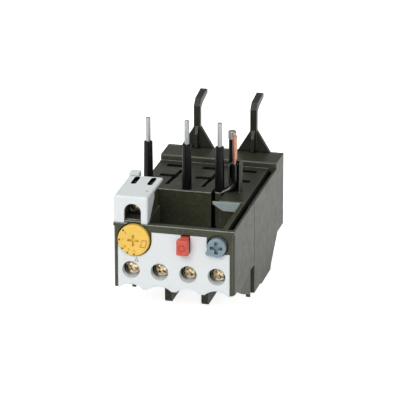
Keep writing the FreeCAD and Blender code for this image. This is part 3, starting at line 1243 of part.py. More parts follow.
def link_wire_core():
    """Bare end of the link wire above its insulation."""
    x, y = WIRE
    return rod_z(x, y, CORE_DIAMETER / 2, DECK_HEIGHT + WIRE_TOP, DECK_HEIGHT + CORE_TOP)


def label_insert():
    """Pale insert on the rear wall of the pocket: a slanted plate, with a strip across the notch."""
    top = DECK_HEIGHT - INSERT_DROP
    low = top - INSERT_HEIGHT
    right = RAIL_LEFT - SEAT
    reach, high = INSERT_STRIP
    left = NOTCH_RIGHT - reach
    return prism_y([(left, top), (right, top), (right - INSERT_SLANT, low), (NOTCH_RIGHT + INSERT_SLANT, low),
                    (left, top - high)], POCKET_REAR + SEAT - INSERT_THICKNESS, POCKET_REAR + SEAT)


# ---- assembly ----------------------------------------------------------------------------------------
def build():
    closed, opened = bridge_fronts()
    nodes = {
        "housing_base": housing_base(),
        "deck_cover": deck_cover(),
        "rear_cover": rear_cover(),
        "front_plate": front_plate(),
        "terminal_cap": terminal_cap(),
        "setting_dial": setting_dial(),
        "setting_slider": setting_slider(),
        "stop_button": stop_button(),
        "stop_spring": coil_spring(STOP_X),
        "reset_knob": reset_knob(),
        "reset_plunger": reset_plunger(),
        "reset_spring": coil_spring(RESET_X),
        "contact_carrier": contact_carrier(),
        "nc_bridge": contact_bridge(-AUX_PITCH, closed),
        "no_bridge": contact_bridge(AUX_PITCH, opened),
        "aux_terminal_screws": aux_screws(),
        "aux_clamp_plates": aux_clamps(),
        "main_terminal_screws": main_screws(),
        "main_clamp_plates": main_clamps(),
        "overload_slider": overload_slider(),
        "phase_loss_slider": phase_loss_slider(),
        "differential_lever": differential_lever(),
        "trip_lever": trip_lever(),
        "compensation_strip": compensation_strip(),
        "trip_axle": trip_axle(),
        "aux_post": aux_post(),
        "aux_post_cap": aux_post_cap(),
        "link_wire_core": link_wire_core(),
        "link_wire_insulation": link_wire_insulation(),
        "label_insert": label_insert(),
    }
    nodes.update(coil_terminal())
    for number, x in enumerate(AUX_X, start=1):
        nodes["fixed_contact_%d" % number] = fixed_contact(x, -1 if x < 0 else 1)
    for index, pole in enumerate(POLES):
        x = pole_x(index)
        nodes["terminal_bar_" + pole] = terminal_bar(x)
        nodes["bimetal_" + pole] = bimetal(x)
        nodes["heater_" + pole] = heater(x)
        nodes["phase_pin_" + pole] = phase_pin(index)
        nodes["pin_sleeve_" + pole] = pin_sleeve(index)
    return nodes


def main():
    os.makedirs("parts", exist_ok=True)
    nodes = build()
    whole = Part.makeCompound(list(nodes.values())).BoundBox
    shift = Vector(0, -(whole.YMin + whole.YMax) / 2, 0)
    for name, shape in nodes.items():
        shape.translate(shift)
        shape.exportStep(os.path.join("parts", name + ".step"))


main()
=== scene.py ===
"""Looks of the thermal overload relay: finishes, marks, dark films of painted shade, lights, floor
and camera.

Lengths are in metres. X runs along the front to the right, Y to the rear and Z up.
"""

import json
import math

import bmesh
import bpy
from mathutils import Matrix, Vector

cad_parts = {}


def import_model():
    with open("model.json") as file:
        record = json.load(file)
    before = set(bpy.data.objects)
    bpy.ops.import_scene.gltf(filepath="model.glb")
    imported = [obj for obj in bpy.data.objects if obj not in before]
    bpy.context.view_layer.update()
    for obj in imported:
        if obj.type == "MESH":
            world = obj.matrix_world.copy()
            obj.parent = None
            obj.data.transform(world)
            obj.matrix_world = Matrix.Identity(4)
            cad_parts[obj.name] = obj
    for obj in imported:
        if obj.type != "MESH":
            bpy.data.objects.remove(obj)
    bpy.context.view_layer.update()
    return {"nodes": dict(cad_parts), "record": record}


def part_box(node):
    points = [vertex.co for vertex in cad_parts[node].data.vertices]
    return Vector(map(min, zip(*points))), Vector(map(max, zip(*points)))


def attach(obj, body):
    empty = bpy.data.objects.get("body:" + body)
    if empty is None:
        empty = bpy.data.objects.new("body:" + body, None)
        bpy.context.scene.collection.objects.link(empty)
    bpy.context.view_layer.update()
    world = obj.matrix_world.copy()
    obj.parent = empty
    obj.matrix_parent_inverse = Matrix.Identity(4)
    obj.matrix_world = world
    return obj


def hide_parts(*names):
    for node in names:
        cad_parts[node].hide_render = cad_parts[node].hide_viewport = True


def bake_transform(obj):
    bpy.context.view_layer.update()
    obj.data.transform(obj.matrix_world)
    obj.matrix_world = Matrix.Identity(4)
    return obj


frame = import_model()

MM = 0.001
SQUARE = ((-1, -1), (1, -1), (1, 1), (-1, 1))


# ---- node helpers -------------------------------------------------------------------------------
class Material:
    """A node material with one principled shader, built up by the calls below."""

    IOR = 1.5
    MIX_INPUTS = (0, 6, 7)  # factor and the two colours of a Mix node
    MIX_OUTPUT = 2
    AO_SAMPLES = 12

    def __init__(self, name, roughness, metallic=0.0, specular=0.5):
        self.material = bpy.data.materials.new(name)
        self.material.use_nodes = True
        self.tree = self.material.node_tree
        self.shader = self.tree.nodes["Principled BSDF"]
        self.shader.inputs["Roughness"].default_value = roughness
        self.shader.inputs["Metallic"].default_value = metallic
        self.shader.inputs["IOR"].default_value = self.IOR
        self.shader.inputs["Specular IOR Level"].default_value = specular
        self.place = self.add("ShaderNodeTexCoord").outputs["Object"]

    def put(self, socket, value):
        """Feed a socket from another node's socket, or set its value."""
        if isinstance(value, bpy.types.NodeSocket):
            self.tree.links.new(value, socket)
        else:
            socket.default_value = value

    def add(self, kind, **inputs):
        """New node with its inputs by name, where an underscore stands for a blank."""
        node = self.tree.nodes.new(kind)
        for key, value in inputs.items():
            self.put(node.inputs[key.replace("_", " ")], value)
        return node

    def stretched(self, scale):
        """Object coordinates, scaled along each axis."""
        return self.add("ShaderNodeMapping", Vector=self.place, Scale=scale).outputs["Vector"]

    def noise(self, size, detail=3.0, roughness=0.6, place=None):
        """Noise whose blobs are about one size across, in metres."""
        return self.add("ShaderNodeTexNoise", Vector=place or self.place, Scale=1.0 / size,
                        Detail=detail, Roughness=roughness).outputs["Fac"]

    def ramp(self, value, low, high, to_low=0.0, to_high=1.0):
        """Value from one range brought to another, and kept within it."""
        return self.add("ShaderNodeMapRange", Value=value, From_Min=low, From_Max=high,
                        To_Min=to_low, To_Max=to_high).outputs["Result"]

    def mix(self, factor, first, second):
        """Colour between two colours."""
        node = self.tree.nodes.new("ShaderNodeMix")
        node.data_type = "RGBA"
        for index, value in zip(self.MIX_INPUTS, (factor, first, second)):
            self.put(node.inputs[index], value)
        return node.outputs[self.MIX_OUTPUT]

    def maths(self, operation, first, second):
        node = self.tree.nodes.new("ShaderNodeMath")
        node.operation = operation
        self.put(node.inputs[0], first)
        self.put(node.inputs[1], second)
        return node.outputs[0]

    def dot(self, first, second):
        node = self.tree.nodes.new("ShaderNodeVectorMath")
        node.operation = "DOT_PRODUCT"
        self.put(node.inputs[0], first)
        self.put(node.inputs[1], second)
        return node.outputs["Value"]

    def edges(self, radius, towards=None):
        """1 along sharp edges, 0 on flats; weaker on edges that face away from one direction."""
        rounded = self.add("ShaderNodeBevel", Radius=radius).outputs["Normal"]
        true = self.add("ShaderNodeNewGeometry").outputs["True Normal"]
        mask = self.ramp(self.dot(rounded, true), 0.998, 0.9)
        if towards:
            facing = self.ramp(self.dot(rounded, towards), 0.7, 0.95, 0.12, 1.0)
            mask = self.maths("MULTIPLY", mask, facing)
        return mask

    def recess_shadow(self, distance, darkest, low=0.35, high=0.8):
        """Painted shade for the missing light in narrow recesses: a factor from the darkest value
        to 1.
        """
        node = self.add("ShaderNodeAmbientOcclusion", Distance=distance)
        node.samples = self.AO_SAMPLES
        return self.ramp(node.outputs["AO"], low, high, darkest, 1.0)

    def darkened(self, tone, factor):
        """A colour times a factor."""
        node = self.tree.nodes.new("ShaderNodeVectorMath")
        node.operation = "SCALE"
        self.put(node.inputs[0], tone)
        self.put(node.inputs["Scale"], factor)
        return node.outputs["Vector"]

    def bump(self, height, distance, radius=0.0):
        """Relief, over normals that are rounded at the edges where a radius is given."""
        node = self.add("ShaderNodeBump", Height=height, Distance=distance, Strength=1.0)
        if radius > 0:
            rounded = self.add("ShaderNodeBevel", Radius=radius).outputs["Normal"]
            self.put(node.inputs["Normal"], rounded)
        self.put(self.shader.inputs["Normal"], node.outputs["Normal"])

    def colour(self, socket):
        self.put(self.shader.inputs["Base Color"], socket)

    def roughness(self, socket):
        self.put(self.shader.inputs["Roughness"], socket)


def linear(red, green, blue):
    """Linear colour of a display colour given from 0 to 255."""
    def channel(value):
        value /= 255
        return value / 12.92 if value <= 0.04045 else ((value + 0.055) / 1.055) ** 2.4
    return (channel(red), channel(green), channel(blue), 1.0)


def shade(colour, factor):
    """Lighter or darker colour, still opaque."""
    return tuple(channel * factor for channel in colour[:3]) + (1.0,)


# ---- materials ----------------------------------------------------------------------------------
EDGE_RADIUS = 0.3 * MM
EDGE_LIT = (-0.1, -0.62, 0.78)  # way that the edges with the strongest painted highlight face

GRAIN_SIZE = 0.25 * MM
GRAIN_RELIEF = 0.012 * MM
CLOUD_SIZE = 9 * MM
MOTTLE_SIZE = 1.1 * MM
GLOSS_SIZE = 3 * MM
INSIDE_REACH = 9 * MM

UPWARD_SHADE = 0.62
CLOUD_TO_MOTTLE = 2.2
SPECK_SPACING = 2.4 * MM
SPECK_PATCHES = 7 * MM
SPECK_COLOUR = linear(196, 198, 190)


def moulded(name, colour, roughness, edge_light=1.25, cloud=0.08, recess=0.55, depth=1.6 * MM,
            dust_and_painted_light=0.0, edge_radius=EDGE_RADIUS, inside=1.0, specular=0.5):
    """Moulded plastic: eroded grain, faint clouds of colour and gloss, painted edge light and
    shade.

    edge_light is the colour of the painted highlight on the edges, or a factor on the plastic's
    colour. recess is the factor of painted shade in narrow recesses of about one depth, and inside
    is the factor of painted shade deep in a hollow. dust_and_painted_light adds pale dust specks,
    paints shade on upward faces and keeps the painted edge highlight mostly to edges that face
    EDGE_LIT.
    """
    edge_tone = edge_light if isinstance(edge_light, tuple) else shade(colour, edge_light)
    m = Material(name, roughness, specular=specular)
    clouds = m.noise(CLOUD_SIZE, detail=4)
    mottle = m.noise(MOTTLE_SIZE, detail=5)
    tone = m.mix(m.ramp(clouds, 0.3, 0.7), shade(colour, 1 - cloud), shade(colour, 1 + cloud))
    darker = shade(colour, 1 - CLOUD_TO_MOTTLE * cloud)
    tone = m.mix(m.ramp(mottle, 0.4, 0.65, 0, 0.7), tone, darker)
    if dust_and_painted_light:
        # Painted shade: faces that look up are darker.
        up = m.dot(m.add("ShaderNodeNewGeometry").outputs["True Normal"], (0, 0, 1))
        tone = m.darkened(tone, m.ramp(up, 0.6, 0.95, 1.0, UPWARD_SHADE))
    # Painted highlight along the edges.
    tone = m.mix(m.edges(edge_radius, EDGE_LIT if dust_and_painted_light else None), tone, edge_tone)
    if dust_and_painted_light:
        cells = m.add("ShaderNodeTexVoronoi", Vector=m.place, Scale=1 / SPECK_SPACING)
        spots = m.ramp(cells.outputs["Distance"], 0.085, 0.055)
        patches = m.ramp(m.noise(SPECK_PATCHES), 0.58, 0.64, 0, dust_and_painted_light)
        tone = m.mix(m.maths("MULTIPLY", spots, patches), tone, SPECK_COLOUR)
    # Painted shade in narrow recesses, and where asked deep in hollows.
    tone = m.darkened(tone, m.recess_shadow(depth, recess))
    if inside < 1:
        tone = m.darkened(tone, m.recess_shadow(INSIDE_REACH, inside, 0.08, 0.4))
    m.colour(tone)
    gloss = m.noise(GLOSS_SIZE, detail=3)
    m.roughness(m.ramp(gloss, 0.3, 0.7, roughness * 0.88, min(roughness * 1.15, 1)))
    m.bump(m.noise(GRAIN_SIZE, detail=2), GRAIN_RELIEF, radius=edge_radius)
    return m.material


STAIN_SIZE = 0.8 * MM
BRUSH_SIZE = 0.12 * MM
DRAW_SIZE = 0.5 * MM
INK_WEAR_SIZE = 0.35 * MM


def plated(name, colour, dark, roughness, brushed=(1, 1, 1), wear=0.35, recess=0.4,
           depth=0.9 * MM):
    """Plated metal: drawn or brushed along one axis, with dull stains and painted recess shade."""
    m = Material(name, roughness, metallic=1.0)
    stains = m.noise(STAIN_SIZE, detail=5)
    lines = m.noise(BRUSH_SIZE, detail=3, place=m.stretched(brushed))
    tone = m.mix(m.ramp(stains, 0.42, 0.7, 0, wear), colour, dark)
    tone = m.mix(m.ramp(lines, 0.35, 0.75, 0, 0.3), tone, dark)
    # Painted shade in the recesses, such as the screw slots.
    m.colour(m.darkened(tone, m.recess_shadow(depth, recess)))
    m.roughness(m.ramp(stains, 0.3, 0.7, roughness * 0.8, min(roughness * 1.4, 1)))
    m.bump(lines, 0.006 * MM, radius=0.12 * MM)
    return m.material


def sleeve(name, colour, roughness, specular):
    """Smooth flexible insulation with a faint lengthways draw."""
    m = Material(name, roughness, specular=specular)
    lines = m.noise(DRAW_SIZE, detail=2, place=m.stretched((1, 1, 0.04)))
    m.colour(m.mix(m.ramp(lines, 0.4, 0.7), colour, shade(colour, 1.2)))
    m.roughness(m.ramp(m.noise(1.5 * MM), 0.3, 0.7, roughness * 0.85, roughness * 1.3))
    m.bump(lines, 0.004 * MM, radius=0.15 * MM)
    return m.material


def ink(name, colour, background):
    """Pad-printed mark, a little worn through to the plastic."""
    m = Material(name, 0.5)
    wear = m.noise(INK_WEAR_SIZE, detail=4)
    m.colour(m.mix(m.ramp(wear, 0.55, 0.75, 0, 0.6), colour, background))
    m.bump(wear, 0.004 * MM)
    return m.material


# Clouds of tone, a painted highlight on the edges and painted shade in recesses.
BLACK_CLOUDS_AND_PAINTED_LIGHT = {"cloud": 0.2, "edge_light": linear(218, 221, 212), "recess": 0.08,
              "depth": 1.9 * MM, "specular": 0.3}
WHITE = linear(231, 236, 237)
WHITE_CLOUDS_AND_PAINTED_LIGHT = {"edge_light": 1.02, "cloud": 0.012, "depth": 2.2 * MM}

# edge_light gives each plastic's painted edge highlight, recess its painted shade in recesses.
MATERIALS = {
    "black_housing": moulded("black_housing", linear(73, 76, 59), 0.36, dust_and_painted_light=0.8,
                             edge_radius=0.5 * MM, **BLACK_CLOUDS_AND_PAINTED_LIGHT),
    "white_plastic": moulded("white_plastic", WHITE, 0.45, recess=0.5, **WHITE_CLOUDS_AND_PAINTED_LIGHT),
    "yellow_plastic": moulded("yellow_plastic", linear(248, 204, 92), 0.4, edge_light=1.3,
                              cloud=0.04, recess=0.82),
    "red_plastic": moulded("red_plastic", linear(214, 88, 70), 0.38, edge_light=1.1, cloud=0.05,
                           recess=0.62),
    "blue_grey_plastic": moulded("blue_grey_plastic", linear(128, 150, 158), 0.38,
                                 edge_light=1.45, cloud=0.05, recess=0.05, depth=2.6 * MM),
    "natural_plastic": moulded("natural_plastic", linear(222, 216, 200), 0.5, edge_light=1.03,
                               cloud=0.03),
    "black_sleeve": sleeve("black_sleeve", linear(15, 16, 15), 0.3, specular=0.25),
    "pale_insert": moulded("pale_insert", linear(176, 192, 190), 0.4, edge_light=1.15,
                           cloud=0.08, recess=0.3, depth=3 * MM),
    "passivated_steel": plated("passivated_steel", linear(255, 240, 204), linear(150, 86, 40),
                               0.15, wear=0.6, recess=0.05, depth=0.75 * MM),
    "zinc_steel": plated("zinc_steel", linear(190, 190, 186), linear(96, 94, 90), 0.35),
    "spring_steel": plated("spring_steel", linear(170, 170, 170), linear(80, 80, 82), 0.3),
    "tinned_copper": plated("tinned_copper", linear(196, 200, 199), linear(112, 114, 114), 0.3,
                            brushed=(1, 1, 0.04), wear=0.1),
    "copper": plated("copper", linear(226, 170, 148), linear(164, 98, 76), 0.34,
                     brushed=(1, 1, 0.08)),
    "contact_alloy": plated("contact_alloy", linear(216, 196, 168), linear(140, 110, 84), 0.3),
    "bimetal_strip": plated("bimetal_strip", linear(178, 174, 166), linear(110, 104, 96), 0.35,
                            brushed=(1, 1, 0.05)),
    "heater_alloy": plated("heater_alloy", linear(140, 132, 124), linear(70, 62, 58), 0.45,
                           brushed=(1, 0.1, 1)),
}
# Finishes of single nodes or pieces within a slot.
REAR_PLASTIC = moulded("rear_plastic", linear(46, 48, 38), 0.3, dust_and_painted_light=0.6, **BLACK_CLOUDS_AND_PAINTED_LIGHT)
# Near-black material of the films that are painted shade in grooves, vents and slots.
SHADE_FILM = moulded("shade_film", linear(7, 7, 6), 0.7, cloud=0.2, edge_light=1.2,
                         specular=0.15)
# The cap's white plastic with more painted shade in its recesses and deep in its hollows.
CAP_PLASTIC_SHADED = moulded("cap_plastic_shaded", WHITE, 0.45, recess=0.3, inside=0.08, **WHITE_CLOUDS_AND_PAINTED_LIGHT)
WIRE_GLOSS = sleeve("wire_gloss", linear(13, 13, 14), 0.12, specular=0.7)
DIAL_INK = ink("dial_ink", linear(92, 52, 24), linear(226, 184, 96))
WINDOW_INK = ink("window_ink", linear(196, 112, 62), linear(232, 190, 100))
PLATE_INK = ink("plate_ink", linear(150, 146, 132), linear(228, 232, 232))


def paint(mesh, material):
    """Give a mesh one material in place of those that it has."""
    mesh.materials.clear()
    mesh.materials.append(material)


for part in frame["record"]["subparts"]:
    paint(frame["nodes"][part["node"]].data, MATERIALS[part["material_slot"]])
paint(frame["nodes"]["rear_cover"].data, REAR_PLASTIC)
paint(frame["nodes"]["terminal_cap"].data, CAP_PLASTIC_SHADED)
paint(frame["nodes"]["link_wire_insulation"].data, WIRE_GLOSS)


# ---- mesh helpers -------------------------------------------------------------------------------
BEVEL_SEGMENTS = 2
BEVEL_ANGLE = math.radians(35)
SAME_PLACE = 1e-7  # corners this close are one


def linked(name, data):
    """New object in the scene."""
    obj = bpy.data.objects.new(name, data)
    bpy.context.scene.collection.objects.link(obj)
    return obj


def copy_of(node):
    """Object with a copy of a CAD node's mesh, under the name of the piece that stands for it."""
    return linked(node + "_visual", bpy.data.meshes.new_from_object(frame["nodes"][node]))


def new_object(name, bm, material):
    """Object from a bmesh, with one material and smooth faces."""
    bmesh.ops.recalc_face_normals(bm, faces=bm.faces)
    mesh = bpy.data.meshes.new(name)
    bm.to_mesh(mesh)
    bm.free()
    for polygon in mesh.polygons:
        polygon.use_smooth = True
    mesh.materials.append(material)
    return linked(name, mesh)


def turned(bm, profile, place, segments=64):
    """Surface of revolution about a line along Y: the profile is (radius, y), from end to end."""
    x, y, z = place
    rings = []
    for radius, along in profile:
        ring = []
        for k in range(segments if radius > 0 else 1):
            angle = 2 * math.pi * k / segments
            ring.append(bm.verts.new((x + radius * math.cos(angle), y + along,
                                      z + radius * math.sin(angle))))
        rings.append(ring)
    for first, second in zip(rings, rings[1:]):
        for k in range(segments):
            corners = []
            for vertex in (first[k % len(first)], first[(k + 1) % len(first)],
                           second[(k + 1) % len(second)], second[k % len(second)]):
                if vertex not in corners:
                    corners.append(vertex)
            bm.faces.new(corners)


def band(bm, first, second):
    """Faces between two loops of as many corners."""
    for k in range(len(first)):
        n = (k + 1) % len(first)
        bm.faces.new((first[k], first[n], second[n], second[k]))


def baked(obj, name):
    """The object with its modifiers applied, as a new object; the first is removed."""
    graph = bpy.context.evaluated_depsgraph_get()
    mesh = bpy.data.meshes.new_from_object(obj.evaluated_get(graph))
    bpy.data.objects.remove(obj)
    mesh.name = name
    return linked(name, mesh)


def carved(obj, cutters, bevel):
    """Cut each cutter out of an object in turn, then round what is sharp; the name is kept."""
    for cutter in cutters:
        modifier = obj.modifiers.new("cut", "BOOLEAN")
        modifier.operation = "DIFFERENCE"
        modifier.solver = "EXACT"
        modifier.object = cutter
    modifier = obj.modifiers.new("round", "BEVEL")
    modifier.width = bevel
    modifier.segments = BEVEL_SEGMENTS
    modifier.limit_method = "ANGLE"
    modifier.angle_limit = BEVEL_ANGLE
    modifier.harden_normals = True
    result = baked(obj, obj.name)
    for cutter in cutters:
        bpy.data.objects.remove(cutter)
    return result


def finished(piece, body, slot, *nodes):
    """Let a piece ride on its body, in place of CAD nodes where given; the slot is not used."""
    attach(piece, body)
    if nodes:
        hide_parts(*nodes)


# ---- screws -------------------------------------------------------------------------------------
# Pan head from its crown to its rim: radius in head radii, depth in head heights.
HEAD_PROFILE = ((0, 0), (0.25, 0.015), (0.45, 0.07), (0.62, 0.15), (0.77, 0.26), (0.9, 0.42),
                (0.97, 0.58), (1, 0.72), (1, 0.94), (0.96, 1))
HEAD_HEIGHT = 0.3  # in head widths, as is the next
SHANK_WIDTH = 0.65
THREAD_PITCH = 0.7 * MM
THREAD_DEPTH = 0.28 * MM
TIP_LENGTH = 0.2 * MM
TIP_DEPTH = 0.6 * MM
# Slots of a cross: length and width in head widths, depth in head heights, turn in degrees.
CROSS = ((1.3, 0.16, 0.6, 0), (0.64, 0.21, 0.66, 90))
SLOT_TAPER = 0.72
SCREW_BEVEL = 0.07 * MM


def screw_mesh(bm, place, head, height, shank, length):
    """Pan head with a rounded rim, a washer face behind it and a threaded shank."""
    profile = [(across * head / 2, along * height) for across, along in HEAD_PROFILE]
    profile.append((shank / 2, height))
    root = shank / 2 - THREAD_DEPTH
    along = height
    while along + THREAD_PITCH < length:
        profile += [(shank / 2, along + THREAD_PITCH * 0.25), (root, along + THREAD_PITCH * 0.75)]
        along += THREAD_PITCH
    profile += [(root, length - TIP_LENGTH), (shank / 2 - TIP_DEPTH, length), (0, length)]
    turned(bm, profile, place)


def slot_cutter(place, length, width, depth, angle):
    """Cutter of one screw slot, narrower towards its floor."""
    bm = bmesh.new()
    turn = Matrix.Translation(place) @ Matrix.Rotation(math.radians(angle), 4, "Y")
    half, side = length / 2, width / 2
    corners = []
    for along, narrow in ((-depth, 1.0), (depth, SLOT_TAPER)):
        for x, z in SQUARE:
            corner = Vector((x * half * (0.5 + narrow / 2), along, z * side * narrow))
            corners.append(bm.verts.new(turn @ corner))
    bm.faces.new(corners[:4])
    bm.faces.new((corners[4], corners[7], corners[6], corners[5]))
    for k in range(4):
        n = (k + 1) % 4
        bm.faces.new((corners[k], corners[k + 4], corners[n + 4], corners[n]))
    return new_object("cutter", bm, MATERIALS["passivated_steel"])


def screws(name, node, angles):
    """Detailed screws in place of the solids of a CAD node, side by side along X, one per angle."""
    low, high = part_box(node)
    head = high[2] - low[2]
    height = HEAD_HEIGHT * head
    pitch = (high[0] - low[0] - head) / max(len(angles) - 1, 1)
    bm = bmesh.new()
    cutters = []
    for index, angle in enumerate(angles):
        place = Vector((low[0] + head / 2 + pitch * index, low[1], (low[2] + high[2]) / 2))
        screw_mesh(bm, place, head, height, SHANK_WIDTH * head, high[1] - low[1])
        for length, width, depth, turn in CROSS:
            cutters.append(slot_cutter(place, length * head, width * head, depth * height,
                                       angle + turn))
    source = new_object(name, bm, MATERIALS["passivated_steel"])
    piece = carved(source, cutters, SCREW_BEVEL)
    finished(piece, "relay", "passivated_steel", node)


# ---- controls -----------------------------------------------------------------------------------
RING_INNER, RING_OUTER, RING_DEPTH = 0.85 * MM, 1.4 * MM, 0.28 * MM
FACE_DEPTH = 0.01 * MM  # how far behind the foremost point a corner still belongs to the face
KNOB_RADIUS = 3.5 * MM
BUTTON_BEVEL = 0.1 * MM
KNOB_BEVEL = 0.12 * MM
# Slots of the knob's cross: length, width, depth, turn in degrees.
KNOB_CROSS = ((4.9 * MM, 1.45 * MM, 0.85 * MM, 0), (5.0 * MM, 1.5 * MM, 0.87 * MM, 90))


def middle(values):
    """Halfway between the least and the greatest."""
    return (min(values) + max(values)) / 2


def stop_button():
    """The stop button with a ring sunk into its face and softly rounded edges."""
    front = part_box("stop_button")[0][1]
    source = copy_of("stop_button")
    face = [v.co for v in source.data.vertices if v.co.y < front + FACE_DEPTH]
    centre = (middle([v.x for v in face]), front, middle([v.z for v in face]))
    bm = bmesh.new()
    turned(bm, [(RING_INNER, -MM), (RING_OUTER, -MM), (RING_OUTER, RING_DEPTH),
                (RING_INNER, RING_DEPTH), (RING_INNER, -MM)], centre)
    bmesh.ops.remove_doubles(bm, verts=bm.verts, dist=SAME_PLACE)
    ring = new_object("cutter", bm, MATERIALS["red_plastic"])
    piece = carved(source, [ring], BUTTON_BEVEL)
    paint(piece.data, MATERIALS["red_plastic"])
    finished(piece, "stop_button", "red_plastic", "stop_button")


def knob():
    """The reset knob with its cross slot opened out and its edges rounded."""
    low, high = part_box("reset_knob")
    source = copy_of("reset_knob")
    centre = Vector((high[0] - KNOB_RADIUS, low[1], high[2] - KNOB_RADIUS))
    cutters = [slot_cutter(centre, *slot) for slot in KNOB_CROSS]
    piece = carved(source, cutters, KNOB_BEVEL)
    paint(piece.data, MATERIALS["blue_grey_plastic"])
    finished(piece, "reset_knob", "blue_grey_plastic", "reset_knob")


def pressed_spring(node):
    """Copy of a spring in place of its CAD node, fixed where it stands."""
    piece = copy_of(node)
    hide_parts(node)
    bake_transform(piece)


# ---- printed marks ------------------------------------------------------------------------------
PRINT_THICKNESS = 0.03 * MM

DIAL_NUMBERS = {135: "6", 180: "7", 219: "8", 245: "9", 273: "10"}  # by degrees round the dial
DOT_PLACE, NUMBER_PLACE = 0.885, 0.68  # in dial radii, as is the next
WINDOW_PLACE = (0.66, -0.17)
DOT_PROFILE = [(0, -0.03 * MM), (0.34 * MM, -0.03 * MM), (0.38 * MM, 0.02 * MM), (0, 0.02 * MM)]
DOT_SEGMENTS = 20
NUMBER_SIZE = 1.35 * MM
NUMBER_THICKNESS = 0.02 * MM
NUMBER_LIFT = 0.01 * MM
WINDOW_HALF_WIDTH, WINDOW_HALF_HEIGHT, WINDOW_LEAN = 1.0 * MM, 1.45 * MM, 0.35 * MM
WINDOW_HOLE = (0.74, 0.8)  # width and height, as shares of the outline's

POINTER_PLACE = (0.8 * MM, -1.7 * MM)  # from the dial's middle, and from its lowest point
POINTER_OUTLINE = [(-0.8 * MM, -0.9 * MM), (0.8 * MM, -0.9 * MM), (0, 0.9 * MM)]
POINTER_HOLE = [(-0.42 * MM, -0.68 * MM), (0.42 * MM, -0.68 * MM), (0, 0.42 * MM)]


def flat_mark(name, outline, place, thickness, material, hole=None):
    """Thin plate facing the front: outline in (x, z) around a place, with an optional hole.

    The thickness is given to either side of the place.
    """
    bm = bmesh.new()
    loops = [outline] + ([hole] if hole else [])
    front, back = [[[bm.verts.new((place[0] + x, place[1] + shift, place[2] + z))
                     for x, z in loop] for loop in loops] for shift in (-thickness, thickness)]
    for side in (front, back):
        if hole:
            band(bm, side[0], side[1])
        else:
            bm.faces.new(side[0])
    for one, other in zip(front, back):
        band(bm, one, other)
    return new_object(name, bm, material)


def dial_marks():
    """Dots round the dial, small numbers inside them and a printed window."""
    low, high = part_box("setting_dial")
    x, z = (low[0] + high[0]) / 2, (low[2] + high[2]) / 2
    radius = (high[0] - low[0]) / 2

    def on_dial(degrees, reach, lift=0.0):
        turn = math.radians(degrees)
        return (x + reach * radius * math.cos(turn), low[1] - lift,
                z + reach * radius * math.sin(turn))

    dots = bmesh.new()
    for degrees in DIAL_NUMBERS:
        turned(dots, DOT_PROFILE, on_dial(degrees, DOT_PLACE), DOT_SEGMENTS)
    finished(new_object("dial_dots", dots, DIAL_INK), "setting_dial", "yellow_plastic")
    for degrees, text in DIAL_NUMBERS.items():
        curve = bpy.data.curves.new("dial_number_" + text, "FONT")
        curve.body = text
        curve.size = NUMBER_SIZE
        curve.extrude = NUMBER_THICKNESS
        curve.align_x = "CENTER"
        curve.align_y = "CENTER"
        curve.materials.append(WINDOW_INK)
        number = linked("dial_number_" + text, curve)
        number.location = on_dial(degrees, NUMBER_PLACE, NUMBER_LIFT)
        number.rotation_euler = (math.pi / 2, 0, 0)
        finished(number, "setting_dial", "yellow_plastic")
    wide, tall, lean = WINDOW_HALF_WIDTH, WINDOW_HALF_HEIGHT, WINDOW_LEAN
    outline = [(-wide - lean, -tall), (wide - lean, -tall), (wide + lean, tall),
               (-wide + lean, tall)]
    hole = [(across * WINDOW_HOLE[0], up * WINDOW_HOLE[1]) for across, up in outline]
    place = (x + WINDOW_PLACE[0] * radius, low[1], z + WINDOW_PLACE[1] * radius)
    window = flat_mark("dial_window", outline, place, PRINT_THICKNESS, WINDOW_INK, hole)
    finished(window, "setting_dial", "yellow_plastic")


def pointer():
    """Outlined triangle on the front plate under the dial."""
    low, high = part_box("setting_dial")
    place = ((low[0] + high[0]) / 2 + POINTER_PLACE[0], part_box("front_plate")[0][1],
             low[2] + POINTER_PLACE[1])
    mark = flat_mark("pointer", POINTER_OUTLINE, place, PRINT_THICKNESS, PLATE_INK, POINTER_HOLE)
    finished(mark, "relay", "white_plastic")


# ---- dark films of painted shade ----------------------------------------------------------------
FILM_LIFT = 0.02 * MM
FILM_THICKNESS = 0.03 * MM
FILM_SEAM = 1e-6  # loose corners this close are joined
LEVEL = 0.7  # least upward part of the normal of a groove's floor
UPRIGHT = 0.1  # greatest upward part of the normal of a slot's wall

DECK_GROOVES = (12.4 * MM, 12.9 * MM)  # depths under the top of the node, as is the next
RAIL_GROOVE = (11.7 * MM, 12.1 * MM)
RAIL_X = (18.5 * MM, 21.5 * MM)

DECK_DEPTH = 11.84 * MM  # of the deck's top face under the highest point of its node
VENTS = [(x * MM, y * MM) for y in (9.45, 20.4) for x in (-15.2, -1.4, 12.4)]
VENT_COLUMNS = 3
VENT_HALF = (3.0 * MM, 0.75 * MM)
VENT_DEPTH = 2.0 * MM
VENT_WALLS = (3.1 * MM, 0.85 * MM)  # half sizes of the space that holds a vent's walls
BORDER_WIDTH = 0.55 * MM

# The cap's two wire slots: X from the cap's left side, Y from its rear.
CAP_SLOTS_X = (3.75 * MM, 9.9 * MM)
CAP_SLOTS_Y = 8.3 * MM
CAP_SLOT_WALLS = (1.1 * MM, 4.1 * MM)
CAP_TOP = 47.4 * MM  # height of the cap's top face
CAP_DEPTH = 1.3 * MM
SHADE_PLATE_Y = 3.4 * MM  # from the cap's rear
SHADE_PLATE_Z = 44.0 * MM
SHADE_PLATE_THICKNESS = 0.15 * MM  # to either side
SHADE_PLATE_OUTLINE = [(-1.9 * MM, -0.2 * MM), (2.4 * MM, -0.2 * MM), (2.4 * MM, 2.2 * MM),
                  (-1.9 * MM, 2.2 * MM)]


